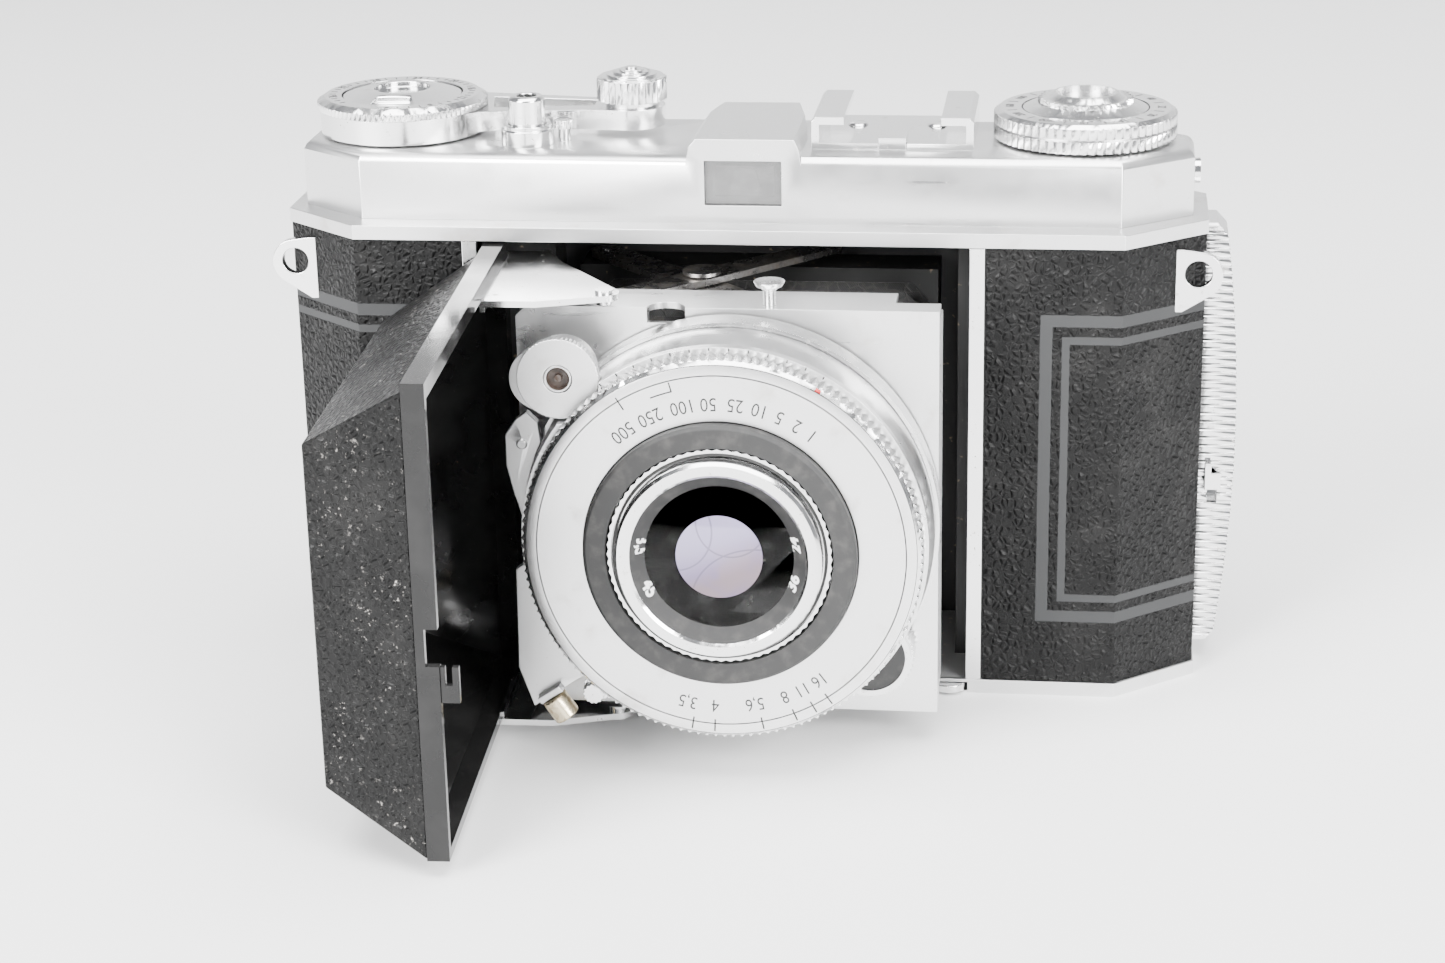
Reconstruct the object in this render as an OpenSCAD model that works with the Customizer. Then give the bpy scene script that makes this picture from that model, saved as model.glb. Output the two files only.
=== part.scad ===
// Folding 35 mm viewfinder camera with a side-hinged front door, shown unfolded.
// X runs along the body, Y away from the lens, Z up. The origin is the mouth of the
// tripod socket, in the middle of the base. Inside place(), y = 0 is the body's front face.

/* [Body] */
// Width of the body over its end faces
body_w = 121; // [119:0.5:124]
// Depth of the body without the front door
body_d = 29; // [28.6:0.1:30]
// Height of the bottom rim
rim_h = 1.9; // [1.5:0.1:2.1]
// Height of the underside of the top rim
bay_top = 61.36; // [61.2:0.02:62]
// Thickness of the top rim
top_rim_h = 1.9; // [1.5:0.1:2.4]
// Thickness of the covering
leather_t = 0.5; // [0.3:0.05:0.6]
// Height of the top plate
top_z = 72; // [71.6:0.1:73]

/* [Front bay] */
// Left edge of the front opening
bay_left = -33.6; // [-34:0.1:-33.4]
// Right edge of the front opening
bay_right = 30.2; // [29.8:0.1:30.6]
// Width of each bright strip beside the opening
strip_w = 2; // [1.6:0.1:2.2]

/* [Lens and shutter] */
// Sideways place of the lens axis
lens_x = 1.7; // [1.2:0.1:2.2]
// Height of the lens axis
lens_z = 31; // [30.8:0.1:31.2]
// Distance of the lens board in front of the body
board_y = 16.3; // [16:0.1:16.6]
// Radius of the toothed speed ring
speed_r = 24.75; // [24.3:0.05:24.9]
// Number of teeth on the speed ring
speed_teeth = 140; // [120:2:150]
// Radius of the focusing ring
focus_r = 26.1; // [25.8:0.1:26.3]
// Radius of the front glass
glass_r = 7.7; // [7:0.1:8]

/* [Front door] */
// How far the door stands open, in degrees
door_open = 87.5; // [80:0.5:88]
// Length of the door from its hinge
door_len = 62.6; // [62.4:0.1:62.8]

/* [Controls] */
// Radius of the rewind knob
rewind_r = 11.9; // [11:0.1:12.2]
// Radius of the frame counter
counter_r = 11.4; // [11:0.1:11.8]
// Length of the winding lever from its hub to its knob
lever_len = 30.8; // [28:0.1:31.5]

/* [Hidden] */
$fn = 64;

chrome = [0.86, 0.87, 0.88];
satin = [0.78, 0.79, 0.80];
black = [0.08, 0.08, 0.08];
hide = [0.13, 0.13, 0.14];
dark_steel = [0.32, 0.31, 0.29];
brass = [0.74, 0.66, 0.48];
glass = [0.45, 0.42, 0.50];

half_w = body_w / 2;
half_d = body_d / 2;
top_rim_z = bay_top + top_rim_h;
mid_z = lens_z;
film_y = 25.8;                 // the plane the film lies in
bay_back = 24.2;               // back wall of the front bay
door_gap = 0.3;
back_low = rim_h + door_gap;   // bottom and top of both doors
back_high = bay_top - door_gap;

// centres of the round chambers and of the parts above them
supply = [44.8, 16.2];
take_up = [-46.3, 15.6];
rewind = [44.4, 17];
hub = [-46.3, 17.3];
release = [-28.1, 10.3];
lock = [-23.6, 12.2];
button = [28, 0.9];
// bore of the tripod socket
socket_r = 2.75;
socket_deep = 3.4;
sprocket = [-31.6, 22.4];

// the front door's hinge line and the back door's
hinge = [-33, 3.4];
back_pin = [-58.6, 21.4];

// scissor arms: length between end pivots, angle when unfolded, first pivot
arm_len = 44;
arm_angle = 46;
arm_foot = [-20, 21.2];

// Moves everything so that the tripod socket is at the origin
module place() translate([0, -half_d, 0]) children();

// Eight-sided outline of the body, drawn in by t all round
module octagon(t = 0) {
    front_run = 10.65; front_rise = 8.9;
    back_run = 8; back_rise = 6.4;
    front_angle = atan2(front_rise, front_run);
    back_angle = atan2(back_rise, back_run);
    front_x = half_w - front_run - t * tan(front_angle / 2);
    front_y = front_rise + t * tan((90 - front_angle) / 2);
    back_x = half_w - back_run - t * tan(back_angle / 2);
    back_y = body_d - back_rise - t * tan((90 - back_angle) / 2);
    end_x = half_w - t;
    polygon([[-front_x, t], [front_x, t], [end_x, front_y], [end_x, back_y],
             [back_x, body_d - t], [-back_x, body_d - t], [-end_x, back_y], [-end_x, front_y]]);
}

// Box from one corner to the opposite one
module block(low, high) translate(low) cube(high - low);

// Extrusion of a flat outline between two heights
module slab(z0, z1) translate([0, 0, z0]) linear_extrude(z1 - z0) children();

// Outline with n V-shaped teeth round a circle
module toothed(r, n, depth) {
    polygon([for (i = [0 : 2 * n - 1])
        let (q = r - (i % 2) * depth, a = 180 * i / n) [q * cos(a), q * sin(a)]]);
}

// Turns a shape drawn along +Z so that it faces forward on the lens axis, with its
// z = 0 at the given distance in front of the body
module on_lens_axis(front = 0) translate([lens_x, -front, lens_z]) rotate([90, 0, 0]) children();

// Ring on the lens axis between two distances in front of the body
module lens_ring(outer, inner, from, to) on_lens_axis(from) difference() {
    cylinder(r = outer, h = to - from, $fn = 96);
    translate([0, 0, -1]) cylinder(r = inner, h = to - from + 2, $fn = 96);
}

// Copies its children above and below the lens axis
module top_and_bottom() {
    children();
    translate([0, 0, 2 * mid_z]) mirror([0, 0, 1]) children();
}

// ---------------------------------------------------------------- body

module chamber(centre, r) {
    translate(centre) circle(r);
    translate([centre[0] - r, centre[1]]) square([2 * r, body_d]);
}

module core_outline() difference() {
    intersection() {
        octagon(leather_t + 0.25);
        union() {
            translate([-half_w, 0]) square([half_w, 18.4]);
            square([half_w, 15]);
            // behind that, the walls stay clear of the back door
            intersection() {
                octagon(2.2);
                translate([-57.2, 0]) square([114.4, film_y]);
            }
        }
    }
    // front bay, narrower behind the front door's hinge side
    translate([bay_left, -1]) square([bay_right - bay_left, 17.5]);
    translate([-26.2, -1]) square([bay_right + 26.2, bay_back + 1]);
    chamber(supply, 12.6);
    chamber(take_up, 11);
    // room for the sprocket
    translate([-36, 17.9]) square([8.4, 10]);
}

module body_casting() color(satin) difference() {
    union() {
        slab(0, rim_h) octagon();
        slab(bay_top, top_rim_z) octagon();
        slab(rim_h, bay_top) core_outline();
        // light chamber that the bellows join
        block([-23, 17.4, 8.3], [25.4, bay_back + 1, 53.7]);
        // post that the door's catch meets
        block([28.4, 8.9, rim_h - 0.2], [bay_right + 0.5, 12.6, bay_top + 0.2]);
        // outer knuckles of the back hinge
        for (z = [[rim_h, 19.8], [42.2, bay_top]])
            translate([back_pin[0], back_pin[1], z[0]]) cylinder(r = 1.5, h = z[1] - z[0]);
        for (z = [[rim_h, 19.8], [42.2, bay_top]])
            block([-58.6, 17.6, z[0]], [-57.1, 21.4, z[1]]);
    }
    // tunnel and film gate
    block([lens_x - 21, 17, mid_z - 17], [lens_x + 21, bay_back, mid_z + 17]);
    block([lens_x - 18, 17, mid_z - 12], [lens_x + 18, film_y + 1, mid_z + 12]);
    // seats of the tripod socket and of the button that opens the front door
    translate([0, half_d, -1]) cylinder(r = 5, h = rim_h + 2);
    block([button[0] - 2.5, -1, 0.3], [button[0] + 2.5, 5.2, 1.5]);
    // shafts through the top
    translate([rewind[0], rewind[1], bay_top - 1]) cylinder(r = 4.1, h = top_rim_h + 2);
    translate([sprocket[0], sprocket[1], bay_top - 1]) cylinder(r = 1.55, h = top_rim_h + 2);
    translate([sprocket[0], sprocket[1], 0.9]) cylinder(r = 1.55, h = rim_h);
    for (z = [0.9, bay_top - 1]) translate([take_up[0], take_up[1], z]) cylinder(r = 1.55, h = rim_h + 0.5);
    // back hinge pin
    translate([back_pin[0], back_pin[1], 1]) cylinder(r = 0.8, h = bay_top - 0.5);
    // front hinge pin, and room for the barrel that turns on it
    translate([hinge[0], hinge[1], 0.8]) cylinder(r = 0.8, h = bay_top + 0.2);
    translate([hinge[0], hinge[1], rim_h]) cylinder(r = 1.8, h = bay_top - rim_h);
}

module front_leather(side) color(hide) slab(rim_h + 0.05, bay_top - 0.05) intersection() {
    difference() {
        octagon(0.2);
        octagon(leather_t + 0.24);
    }
    if (side > 0) translate([bay_right + strip_w + 0.2, -1]) square([40, 16]);
    else translate([-half_w - 5, -1]) square([half_w + 5 + bay_left - strip_w + 0.1, 18.4]);
}

module leather_left() front_leather(-1);
module leather_right() front_leather(1);

// Bright strips that edge the front opening
module trim_strips() color(chrome) for (x = [bay_left - strip_w + 0.12, bay_right + 0.02])
    block([x, 0.1, rim_h + 0.02], [x + strip_w, leather_t + 0.24, bay_top - 0.02]);

module tripod_socket() color(chrome) translate([0, half_d, 0]) difference() {
    union() {
        cylinder(r = 4.95, h = rim_h);
        cylinder(r = 4, h = 3.9);
    }
    translate([0, 0, -1]) cylinder(r = socket_r, h = socket_deep + 1);
}

// Button in the front edge of the base that opens the front door
module door_button() color(chrome) union() {
    translate([button[0], button[1], 0.4]) cylinder(r = 2.3, h = 1);
    block([button[0] - 1.4, button[1], 0.4], [button[0] + 1.4, 3.8, 1.4]);
}

// ---------------------------------------------------------------- top housing

// Outline of the top housing, drawn in by t
module housing_outline(t = 0) {
    run = 9.2; rise = 7.2; angle = atan2(rise, run);
    x0 = 49.3 - t * tan(angle / 2);
    y1 = 3.6 + rise + t * tan((90 - angle) / 2);
    polygon([[-x0, 3.6 + t], [x0, 3.6 + t], [58.5 - t, y1], [58.5 - t, 30 - y1],
             [x0, 26.4 - t], [-x0, 26.4 - t], [-58.5 + t, 30 - y1], [-58.5 + t, y1]]);
}

// Rounded step between two drawn-in outlines
module housing_step(z0, t0, z1, t1) hull() {
    slab(z0, z0 + 0.02) housing_outline(t0);
    slab(z1 - 0.02, z1) housing_outline(t1);
}

// Raised roof over the viewfinder, narrower towards the back
module finder_roof() intersection() {
    translate([0, 25.8, 0]) rotate([90, 0, 0]) linear_extrude(22.2)
        polygon([[-6.4, 70.5], [8.6, 70.5], [8.2, 73.2], [7.6, 74.3], [-5.1, 74.3], [-6.05, 73.2]]);
    slab(70, 75) polygon([[-6.4, 3.6], [8.6, 3.6], [8.6, 13], [6.2, 26], [-4, 26], [-6.4, 13]]);
}

module top_housing() color(satin) difference() {
    union() {
        slab(top_rim_z, 70.85) housing_outline();
        housing_step(70.83, 0, top_z - 0.5, 0.35);
        housing_step(top_z - 0.52, 0.35, top_z - 0.15, 0.8);
        housing_step(top_z - 0.17, 0.8, top_z, 1.2);
        finder_roof();
    }
    slab(top_rim_z - 1, top_z - 1) housing_outline(1.1);
    // finder window and eyepiece
    block([-4, 3, 65.6], [5.95, 6, 71.45]);
    block([-3.4, 5.5, 66.2], [5.35, 24, 70.9]);
    translate([1, 28, 68.4]) rotate([90, 0, 0]) cylinder(r = 3.05, h = 5);
    // shafts
    translate([rewind[0], rewind[1], 70]) cylinder(r = 4.1, h = 3);
    translate([hub[0], hub[1], 70]) cylinder(r = 2.4, h = 3);
    translate([release[0], release[1], 70]) cylinder(r = 2.5, h = 3);
    translate([lock[0], lock[1], 70]) cylinder(r = 0.85, h = 3);
}

module finder_front_glass() color(glass) block([-3.95, 4.3, 65.65], [5.9, 5.2, 71.4]);

module finder_eyepiece() color(black) translate([1, 27.7, 68.4]) rotate([90, 0, 0]) difference() {
    union() {
        cylinder(r = 4, h = 1.25);
        cylinder(r = 3, h = 2.4);
    }
    translate([0, 0, -1]) cylinder(r = 2.1, h = 5);
}

shoe_x = [9.4, 30.3];
shoe_y = [8.5, 25.2];

module shoe_rails() color(chrome) difference() {
    union() {
        block([shoe_x[0], shoe_y[0], top_z], [shoe_x[1], shoe_y[1], top_z + 0.8]);
        for (side = [0, 1]) translate([side * (shoe_x[0] + shoe_x[1]), 0, 0]) mirror([side, 0, 0])
            translate([0, shoe_y[1], 0]) rotate([90, 0, 0]) linear_extrude(shoe_y[1] - shoe_y[0])
                polygon([[9.4, 72.2], [10.4, 72.2], [10.4, 75.2], [13.6, 75.2], [13.6, 76.2],
                         [10, 76.2], [9.4, 75.6]]);
    }
    // seat of the front stop
    block([18, shoe_y[0] - 1, top_z - 1], [21.7, shoe_y[0] + 1.2, top_z + 2]);
    for (x = [14.6, 25.1]) translate([x, 19.4, top_z - 1]) cylinder(r = 0.8, h = 3);
}

module shoe_spring() color(chrome) {
    block([18.05, shoe_y[0] - 0.1, top_z], [21.65, shoe_y[0] + 1.15, top_z + 1.5]);
    block([18.05, shoe_y[0] + 0.6, top_z + 0.85], [21.65, shoe_y[0] + 4.4, top_z + 1.5]);
    // rivets that hold the shoe down
    for (x = [14.6, 25.1]) translate([x, 19.4, top_z]) {
        cylinder(r = 0.78, h = 0.9);
        translate([0, 0, 0.8]) cylinder(r1 = 1.4, r2 = 1.1, h = 0.35);
    }
}

// Flat ring for a carrying strap, standing out of the slanting face beside each end
lug_x = 58.3;
lug_z = 56.6;
module strap_lugs() color(chrome) for (side = [0, 1]) mirror([side, 0, 0]) difference() {
    translate([0, 7, lug_z]) rotate([90, 0, 0]) linear_extrude(1.3) difference() {
        hull() {
            translate([lug_x + 1, 0]) circle(3.1);
            translate([lug_x - 4, -4.9]) square([3, 8.3]);
        }
        translate([lug_x + 1, 0.2]) circle(1.75);
    }
    slab(lug_z - 10, lug_z + 10) octagon(0.19);
}

// Slotted screw in the end of the housing, and the two pivots of the crossing arms
module slotted_head(r, h) difference() {
    cylinder(r = r, h = h);
    block([-r, -0.2, h - 0.35], [r, 0.2, h + 1]);
}

module steel_screws() color(chrome) {
    translate([58.5, 13.4, 68.6]) rotate([0, 90, 0]) slotted_head(1.6, 0.8);
    for (z = [53.7, 2 * mid_z - 53.7]) translate([arm_foot[0], arm_foot[1], z])
        mirror([0, 0, z < mid_z ? 1 : 0]) cylinder(r = 0.75, h = 1.15);
}

// Polished rails on which the film runs
module film_rails() color(chrome) for (z = [mid_z - 17.3, mid_z - 13.6, mid_z + 12.2, mid_z + 15.9])
    block([-27, film_y, z], [29.5, film_y + 0.35, z + 1.4]);

module release_collar() color(chrome) translate([release[0], release[1], top_z]) difference() {
    union() {
        cylinder(r = 3.45, h = 2.1);
        cylinder(r = 3.2, h = 2.7);
    }
    translate([0, 0, -1]) cylinder(r = 2.5, h = 5);
}

module front_hinge_pin() color(chrome)
    translate([hinge[0], hinge[1], 0.9]) cylinder(r = 0.78, h = bay_top);

module back_hinge_pin() color(chrome)
    translate([back_pin[0], back_pin[1], 1.1]) cylinder(r = 0.78, h = bay_top - 0.7);

// ---------------------------------------------------------------- controls on the top

module release_button() color(chrome) translate([release[0], release[1], 0]) difference() {
    union() {
        translate([0, 0, top_z - 4.2]) cylinder(r = 2.4, h = 10.2);
        translate([0, 0, top_z + 6]) cylinder(r1 = 2.4, r2 = 2, h = 0.4);
    }
    translate([0, 0, top_z + 2.4]) cylinder(r = 1.3, h = 6);
}

module film_lock_button() color(chrome) translate([lock[0], lock[1], 0]) union() {
    translate([0, 0, top_z - 3]) cylinder(r = 0.8, h = 5);
    translate([0, 0, top_z + 1.7]) toothed_disc(1.3, 16, 0.15, 1.1);
}

module toothed_disc(r, n, depth, h) linear_extrude(h) toothed(r, n, depth);

// Winding lever: cup under the counter, and a slotted arm that ends under the knob
lever_knob_at = [hub[0] + lever_len, hub[1] + 1.7];
module wind_lever() color(chrome) difference() {
    union() {
        translate([hub[0], hub[1], top_z + 0.3]) cylinder(r = 11, h = 3.2, $fn = 96);
        slab(top_z + 0.8, top_z + 3.4) difference() {
            polygon([[hub[0] + 4, hub[1] - 9.2], [hub[0] + 12, hub[1] - 3.6],
                     [lever_knob_at[0] - 6, lever_knob_at[1] - 3.9],
                     [lever_knob_at[0], lever_knob_at[1] - 4.4],
                     [lever_knob_at[0], lever_knob_at[1] + 4.4],
                     [lever_knob_at[0] - 4, lever_knob_at[1] + 3.9], [hub[0] + 6, hub[1] + 9]]);
            // window through the arm
            polygon([[hub[0] + 12.6, hub[1] - 1], [lever_knob_at[0] - 5, lever_knob_at[1] - 1],
                     [lever_knob_at[0] - 5, lever_knob_at[1] + 2.4], [hub[0] + 11.4, hub[1] + 5.6]]);
        }
        translate([lever_knob_at[0], lever_knob_at[1], top_z + 0.8]) cylinder(r = 4.4, h = 2.6);
    }
    // hub: room for the counter's spigot, and the bore that turns on the winding shaft
    translate([hub[0], hub[1], top_z - 1]) cylinder(r = 2.4, h = 9);
    translate([hub[0], hub[1], top_z + 2.8]) cylinder(r = 10.2, h = 3, $fn = 96);
    translate([lever_knob_at[0], lever_knob_at[1], top_z]) cylinder(r = 1.2, h = 8);
}

module lever_knob() color(chrome) translate([lever_knob_at[0], lever_knob_at[1], 0]) union() {
    translate([0, 0, top_z + 0.85]) cylinder(r = 1.18, h = 3);
    translate([0, 0, top_z + 3.4]) cylinder(r = 3.6, h = 0.8);
    translate([0, 0, top_z + 4.2]) toothed_disc(4.7, 30, 0.35, 2.9);
    for (i = [0 : 4]) translate([0, 0, top_z + 7.1 + 0.28 * i]) cylinder(r = 4.2 - 0.85 * i, h = 0.28);
}

module counter_dial() color(chrome) translate([hub[0], hub[1], 0]) difference() {
    union() {
        translate([0, 0, top_z + 3.55]) toothed_disc(counter_r, 90, 0.25, 0.9);
        translate([0, 0, top_z + 4.45]) cylinder(r1 = counter_r - 0.15, r2 = 10.3, h = 0.65, $fn = 96);
        translate([0, 0, top_z + 2.9]) cylinder(r = 9.9, h = 0.8, $fn = 96);
    }
    translate([0, 0, top_z + 2]) cylinder(r = 8.1, h = 5, $fn = 96);
}

// Fixed cap in the middle of the counter, with a notch that shows the frame number
module counter_cap() color(satin) translate([hub[0], hub[1], 0]) difference() {
    union() {
        translate([0, 0, top_z - 8]) cylinder(r = 2.35, h = 13);
        translate([0, 0, top_z + 3.05]) cylinder(r = 7.9, h = 1.9, $fn = 96);
        translate([0, 0, top_z + 4.9]) cylinder(r1 = 7.9, r2 = 4.8, h = 0.9, $fn = 96);
    }
    translate([0, 0, top_z + 5.1]) cylinder(r = 3.7, h = 2);
    translate([0, 0, top_z + 4.95]) linear_extrude(2)
        polygon([[-3.2, -9], [3.2, -9], [2.2, -5.2], [-2.2, -5.2]]);
}

module rewind_bush() color(brass) translate([rewind[0], rewind[1], 0]) difference() {
    union() {
        translate([0, 0, bay_top + 0.1]) cylinder(r = 4, h = top_z - bay_top - 0.1);
        translate([0, 0, top_rim_z + 0.1]) cylinder(r = 5.5, h = 2);
    }
    translate([0, 0, bay_top - 1]) cylinder(r = 2.6, h = 20);
}

module rewind_knob() color(chrome) translate([rewind[0], rewind[1], 0]) difference() {
    union() {
        translate([0, 0, top_z + 0.35]) toothed_disc(rewind_r, 64, 0.3, 1.55);
        translate([0, 0, top_z + 1.9]) cylinder(r = rewind_r - 0.7, h = 0.3, $fn = 96);
        translate([0, 0, top_z + 2.2]) toothed_disc(rewind_r, 64, 0.3, 1.35);
        translate([0, 0, top_z + 3.55])
            cylinder(r1 = rewind_r - 0.2, r2 = rewind_r - 0.8, h = 0.5, $fn = 96);
    }
    translate([0, 0, top_z - 1]) cylinder(r = 2.55, h = 10);
    translate([0, 0, top_z + 3.2]) cylinder(r = 8.3, h = 3, $fn = 96);
}

module rewind_fork() color(chrome) translate([rewind[0], rewind[1], 0]) difference() {
    translate([0, 0, bay_top - 5]) cylinder(r = 2.5, h = top_z + 3 - bay_top + 5);
    // slot of the fork that turns the film spool
    block([-3, -0.8, bay_top - 6], [3, 0.8, bay_top - 2.4]);
}

// Film reminder: a cone with a ring of teeth that turns in the middle of the knob
module reminder_dial() color(chrome) translate([rewind[0], rewind[1], 0]) difference() {
    union() {
        translate([0, 0, top_z + 3.3]) cylinder(r = 8.1, h = 0.7, $fn = 96);
        translate([0, 0, top_z + 4]) cylinder(r1 = 8.1, r2 = 6.3, h = 0.8, $fn = 96);
        translate([0, 0, top_z + 4.8]) toothed_disc(6.2, 36, 0.6, 0.5);
        translate([0, 0, top_z + 5.25]) cylinder(r1 = 5.2, r2 = 4.2, h = 0.75);
    }
    translate([0, 0, top_z + 5.1]) cylinder(r = 3.9, h = 2);
}

module take_up_spool() color(black) translate([take_up[0], take_up[1], 0]) union() {
    translate([0, 0, 1]) cylinder(r = 1.5, h = rim_h + 1);
    translate([0, 0, bay_top - 6]) cylinder(r = 1.5, h = 7);
    for (z = [rim_h + 0.4, bay_top - 6.4]) translate([0, 0, z]) cylinder(r = 8, h = 1.2);
    difference() {
        translate([0, 0, rim_h + 0.4]) cylinder(r = 4.6, h = bay_top - rim_h - 5.6);
        // slot for the tongue of the film
        block([-0.6, -5, 12], [0.6, 5, 50]);
    }
}

module sprocket_shaft() color(chrome) translate([sprocket[0], sprocket[1], 0]) union() {
    translate([0, 0, 1]) cylinder(r = 1.5, h = top_rim_z - 1.1);
    for (z = [mid_z - 17, mid_z + 12.4]) translate([0, 0, z]) toothed_disc(3.1, 8, 0.7, 1.4);
    for (z = [mid_z - 15.4, mid_z + 11.4]) translate([0, 0, z]) cylinder(r = 2.3, h = 4);
}

// ---------------------------------------------------------------- back door

module back_shell(outer, inner, left, right_front) intersection() {
    difference() {
        octagon(outer);
        octagon(inner);
    }
    union() {
        translate([left, 15]) square([-left, 20]);
        translate([0, right_front]) square([half_w + 1, 20]);
    }
}

module back_door() color(black) union() {
    slab(back_low, back_high) difference() {
        back_shell(0.7, 1.8, -57.6, 15.3);
        translate(back_pin) circle(2);
    }
    // middle knuckle and its web
    difference() {
        union() {
            translate([back_pin[0], back_pin[1], 20.1]) cylinder(r = 1.5, h = 21.8);
            slab(20.1, 41.9)
                polygon([back_pin + [-0.9, 1.1], back_pin + [0.4, -1.2], [-55.9, 24], [-56.6, 25.1]]);
        }
        translate([back_pin[0], back_pin[1], 10]) cylinder(r = 0.83, h = 50);
    }
}

module back_leather() color(hide) slab(back_low + 0.1, back_high - 0.1)
    intersection() {
        back_shell(0.15, 0.69, -57.5, 22.9);
        translate([-55.7, 15]) square([120, 30]);
    }

// Bowed, ribbed end of the back door, which serves as its grip
grip_ribs = 52;
module back_grip() color(chrome) {
    low = back_low; high = back_high; pitch = (high - low) / grip_ribs;
    bow = 2.15; half = (high - low) / 2;
    arc_r = (half * half + bow * bow) / (2 * bow);
    difference() { intersection() {
        translate([0, 22.4, 0]) rotate([90, 0, 0]) linear_extrude(8) intersection() {
            translate([half_w + 4.75 - arc_r, (low + high) / 2]) circle(arc_r, $fn = 720);
            polygon([[half_w - 0.69, low], [half_w + 1.4, low], [half_w + 5, low + 4],
                     [half_w + 5, high - 4], [half_w + 1.4, high], [half_w - 0.69, high]]);
        }
        // ribs across the front face
        translate([half_w - 1, 0, 0]) rotate([90, 0, 90]) linear_extrude(8)
            polygon(concat([[23, low], [23, high]],
                [for (i = [grip_ribs - 1 : -1 : 0]) each [
                    [15.5, low + (i + 1) * pitch], [15.1, low + (i + 0.8) * pitch],
                    [15.1, low + (i + 0.2) * pitch], [15.5, low + i * pitch]]]));
        }
        // slot in which the latch slides
        block([61.75, 14, 22.6], [63.05, 18, 26.9]);
    }
}

module pressure_plate() color(black) union() {
    block([-28, 26.45, mid_z - 16.5], [31, 27.1, mid_z + 16.5]);
    for (x = [-18, 21]) block([x - 5, 27.05, mid_z - 1.5], [x + 5, body_d - 1.8, mid_z + 1.5]);
}

// Sliding tab that lets the back door go
module back_latch() color(chrome) union() {
    block([61.3, 13.9, 24.6], [63.5, 15, 26.9]);
    block([61.3, 13.9, 26.5], [62.2, 15, 28.2]);
    block([61.85, 14.9, 24.9], [62.95, 17.5, 26.7]);
}

// ---------------------------------------------------------------- front door

// The door is drawn closed, with u along its width from the hinge, then swung open
module swung() translate([hinge[0], hinge[1], 0]) rotate([0, 0, -door_open])
    translate([-hinge[0], -hinge[1], 0]) children();

door_low = back_low;
door_high = back_high;
rim_y = hinge[1] + 3;      // plane of the rim, inside the opening
slope_y = hinge[1] + 0.3;  // where the slanting sides begin
panel_y = hinge[1] - 12.4; // outer panel
door_hide = 0.4;           // thickness of the door's covering
door_sheet = 0.5;          // thickness of its metal
// edges of the slanting sides at the rim and at the outer panel: left, right, low, high
at_rim = [hinge[0] + 3.2, hinge[0] + door_len, door_low + 0.2, door_high - 1];
at_panel = [hinge[0] + 9.3, hinge[0] + 57.8, 9.2, 52.2];

// Four-sided frustum between the slanting sides, drawn in by t and run on past the rim
// by extra: a plan outline and a side outline, each extruded, where they meet
module door_frustum(t, extra = 0) {
    s = t * 1.2;
    function edge(i, y) = at_rim[i] + (at_panel[i] - at_rim[i]) * (slope_y - y) / (slope_y - panel_y - t)
        + (i % 2 == 0 ? s : -s);
    near = slope_y + extra; far = panel_y + t;
    intersection() {
        slab(0, 70) polygon([[edge(0, near), near], [edge(1, near), near], [edge(1, far), far],
                             [edge(0, far), far]]);
        translate([-40, 0, 0]) rotate([90, 0, 90]) linear_extrude(80)
            polygon([[near, edge(2, near)], [near, edge(3, near)], [far, edge(3, far)],
                     [far, edge(2, far)]]);
    }
}

module front_door() color(black) swung() difference() {
    union() {
        door_frustum(door_hide);
        block([hinge[0] + 0.6, slope_y - 0.01, door_low], [at_rim[1], rim_y, door_high]);
        // barrel of the hinge
        translate([hinge[0], hinge[1], door_low]) cylinder(r = 1.5, h = door_high - door_low);
    }
    door_frustum(door_hide + door_sheet, 0.02);
    block([at_rim[0] + 1.1, slope_y, at_rim[2] + 1.1], [at_rim[1] - 1.1, rim_y + 1, at_rim[3] - 1.1]);
    translate([hinge[0], hinge[1], -1]) cylinder(r = 0.83, h = 70);
    // notch beside the catch
    block([at_rim[1] - 2, rim_y - 1.6, 27], [at_rim[1] + 1, rim_y + 1, 31.6]);
}

// Covering over the slanting sides and the outer panel
module door_leather() color(hide) swung() difference() {
    door_frustum(0, -0.02);
    door_frustum(door_hide - 0.001, 0.5);
}

// Bracket at the top and bottom of the door whose tip draws the lens board along
arm_tip = [-12.7, 21.4];
module door_arm() {
    slab(58.7, 59.5) polygon([[-31.6, rim_y], [-32.2, 12], [-26.9, 14.2], [arm_tip[0] - 1.3, arm_tip[1] + 1.4],
        [arm_tip[0] + 1.9, arm_tip[1]], [-8.4, 13.3], [-8.6, rim_y]]);
    translate([arm_tip[0], arm_tip[1], 58.7]) cylinder(r = 1.9, h = 0.8);
    translate([arm_tip[0], arm_tip[1], 58.1]) cylinder(r = 1.2, h = 1.8);
    block([-30, rim_y, 57.9], [-9, rim_y + 0.6, 59.7]);
}

module door_arms() color(chrome) swung() top_and_bottom() door_arm();

module door_catch() color(black) swung() difference() {
    block([at_rim[1] - 1.05, rim_y, 22.4], [at_rim[1] - 0.2, rim_y + 2.2, 26.9]);
    block([at_rim[1] - 2, rim_y + 0.6, 24.6], [at_rim[1] + 1, rim_y + 1.4, 28]);
}

// ---------------------------------------------------------------- lens board and scissors

board = [-25.4, 27.4];          // left and right edges of the lens board
board_z = [4.3, 57.7];          // bottom and top
board_depth = 8;

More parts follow.
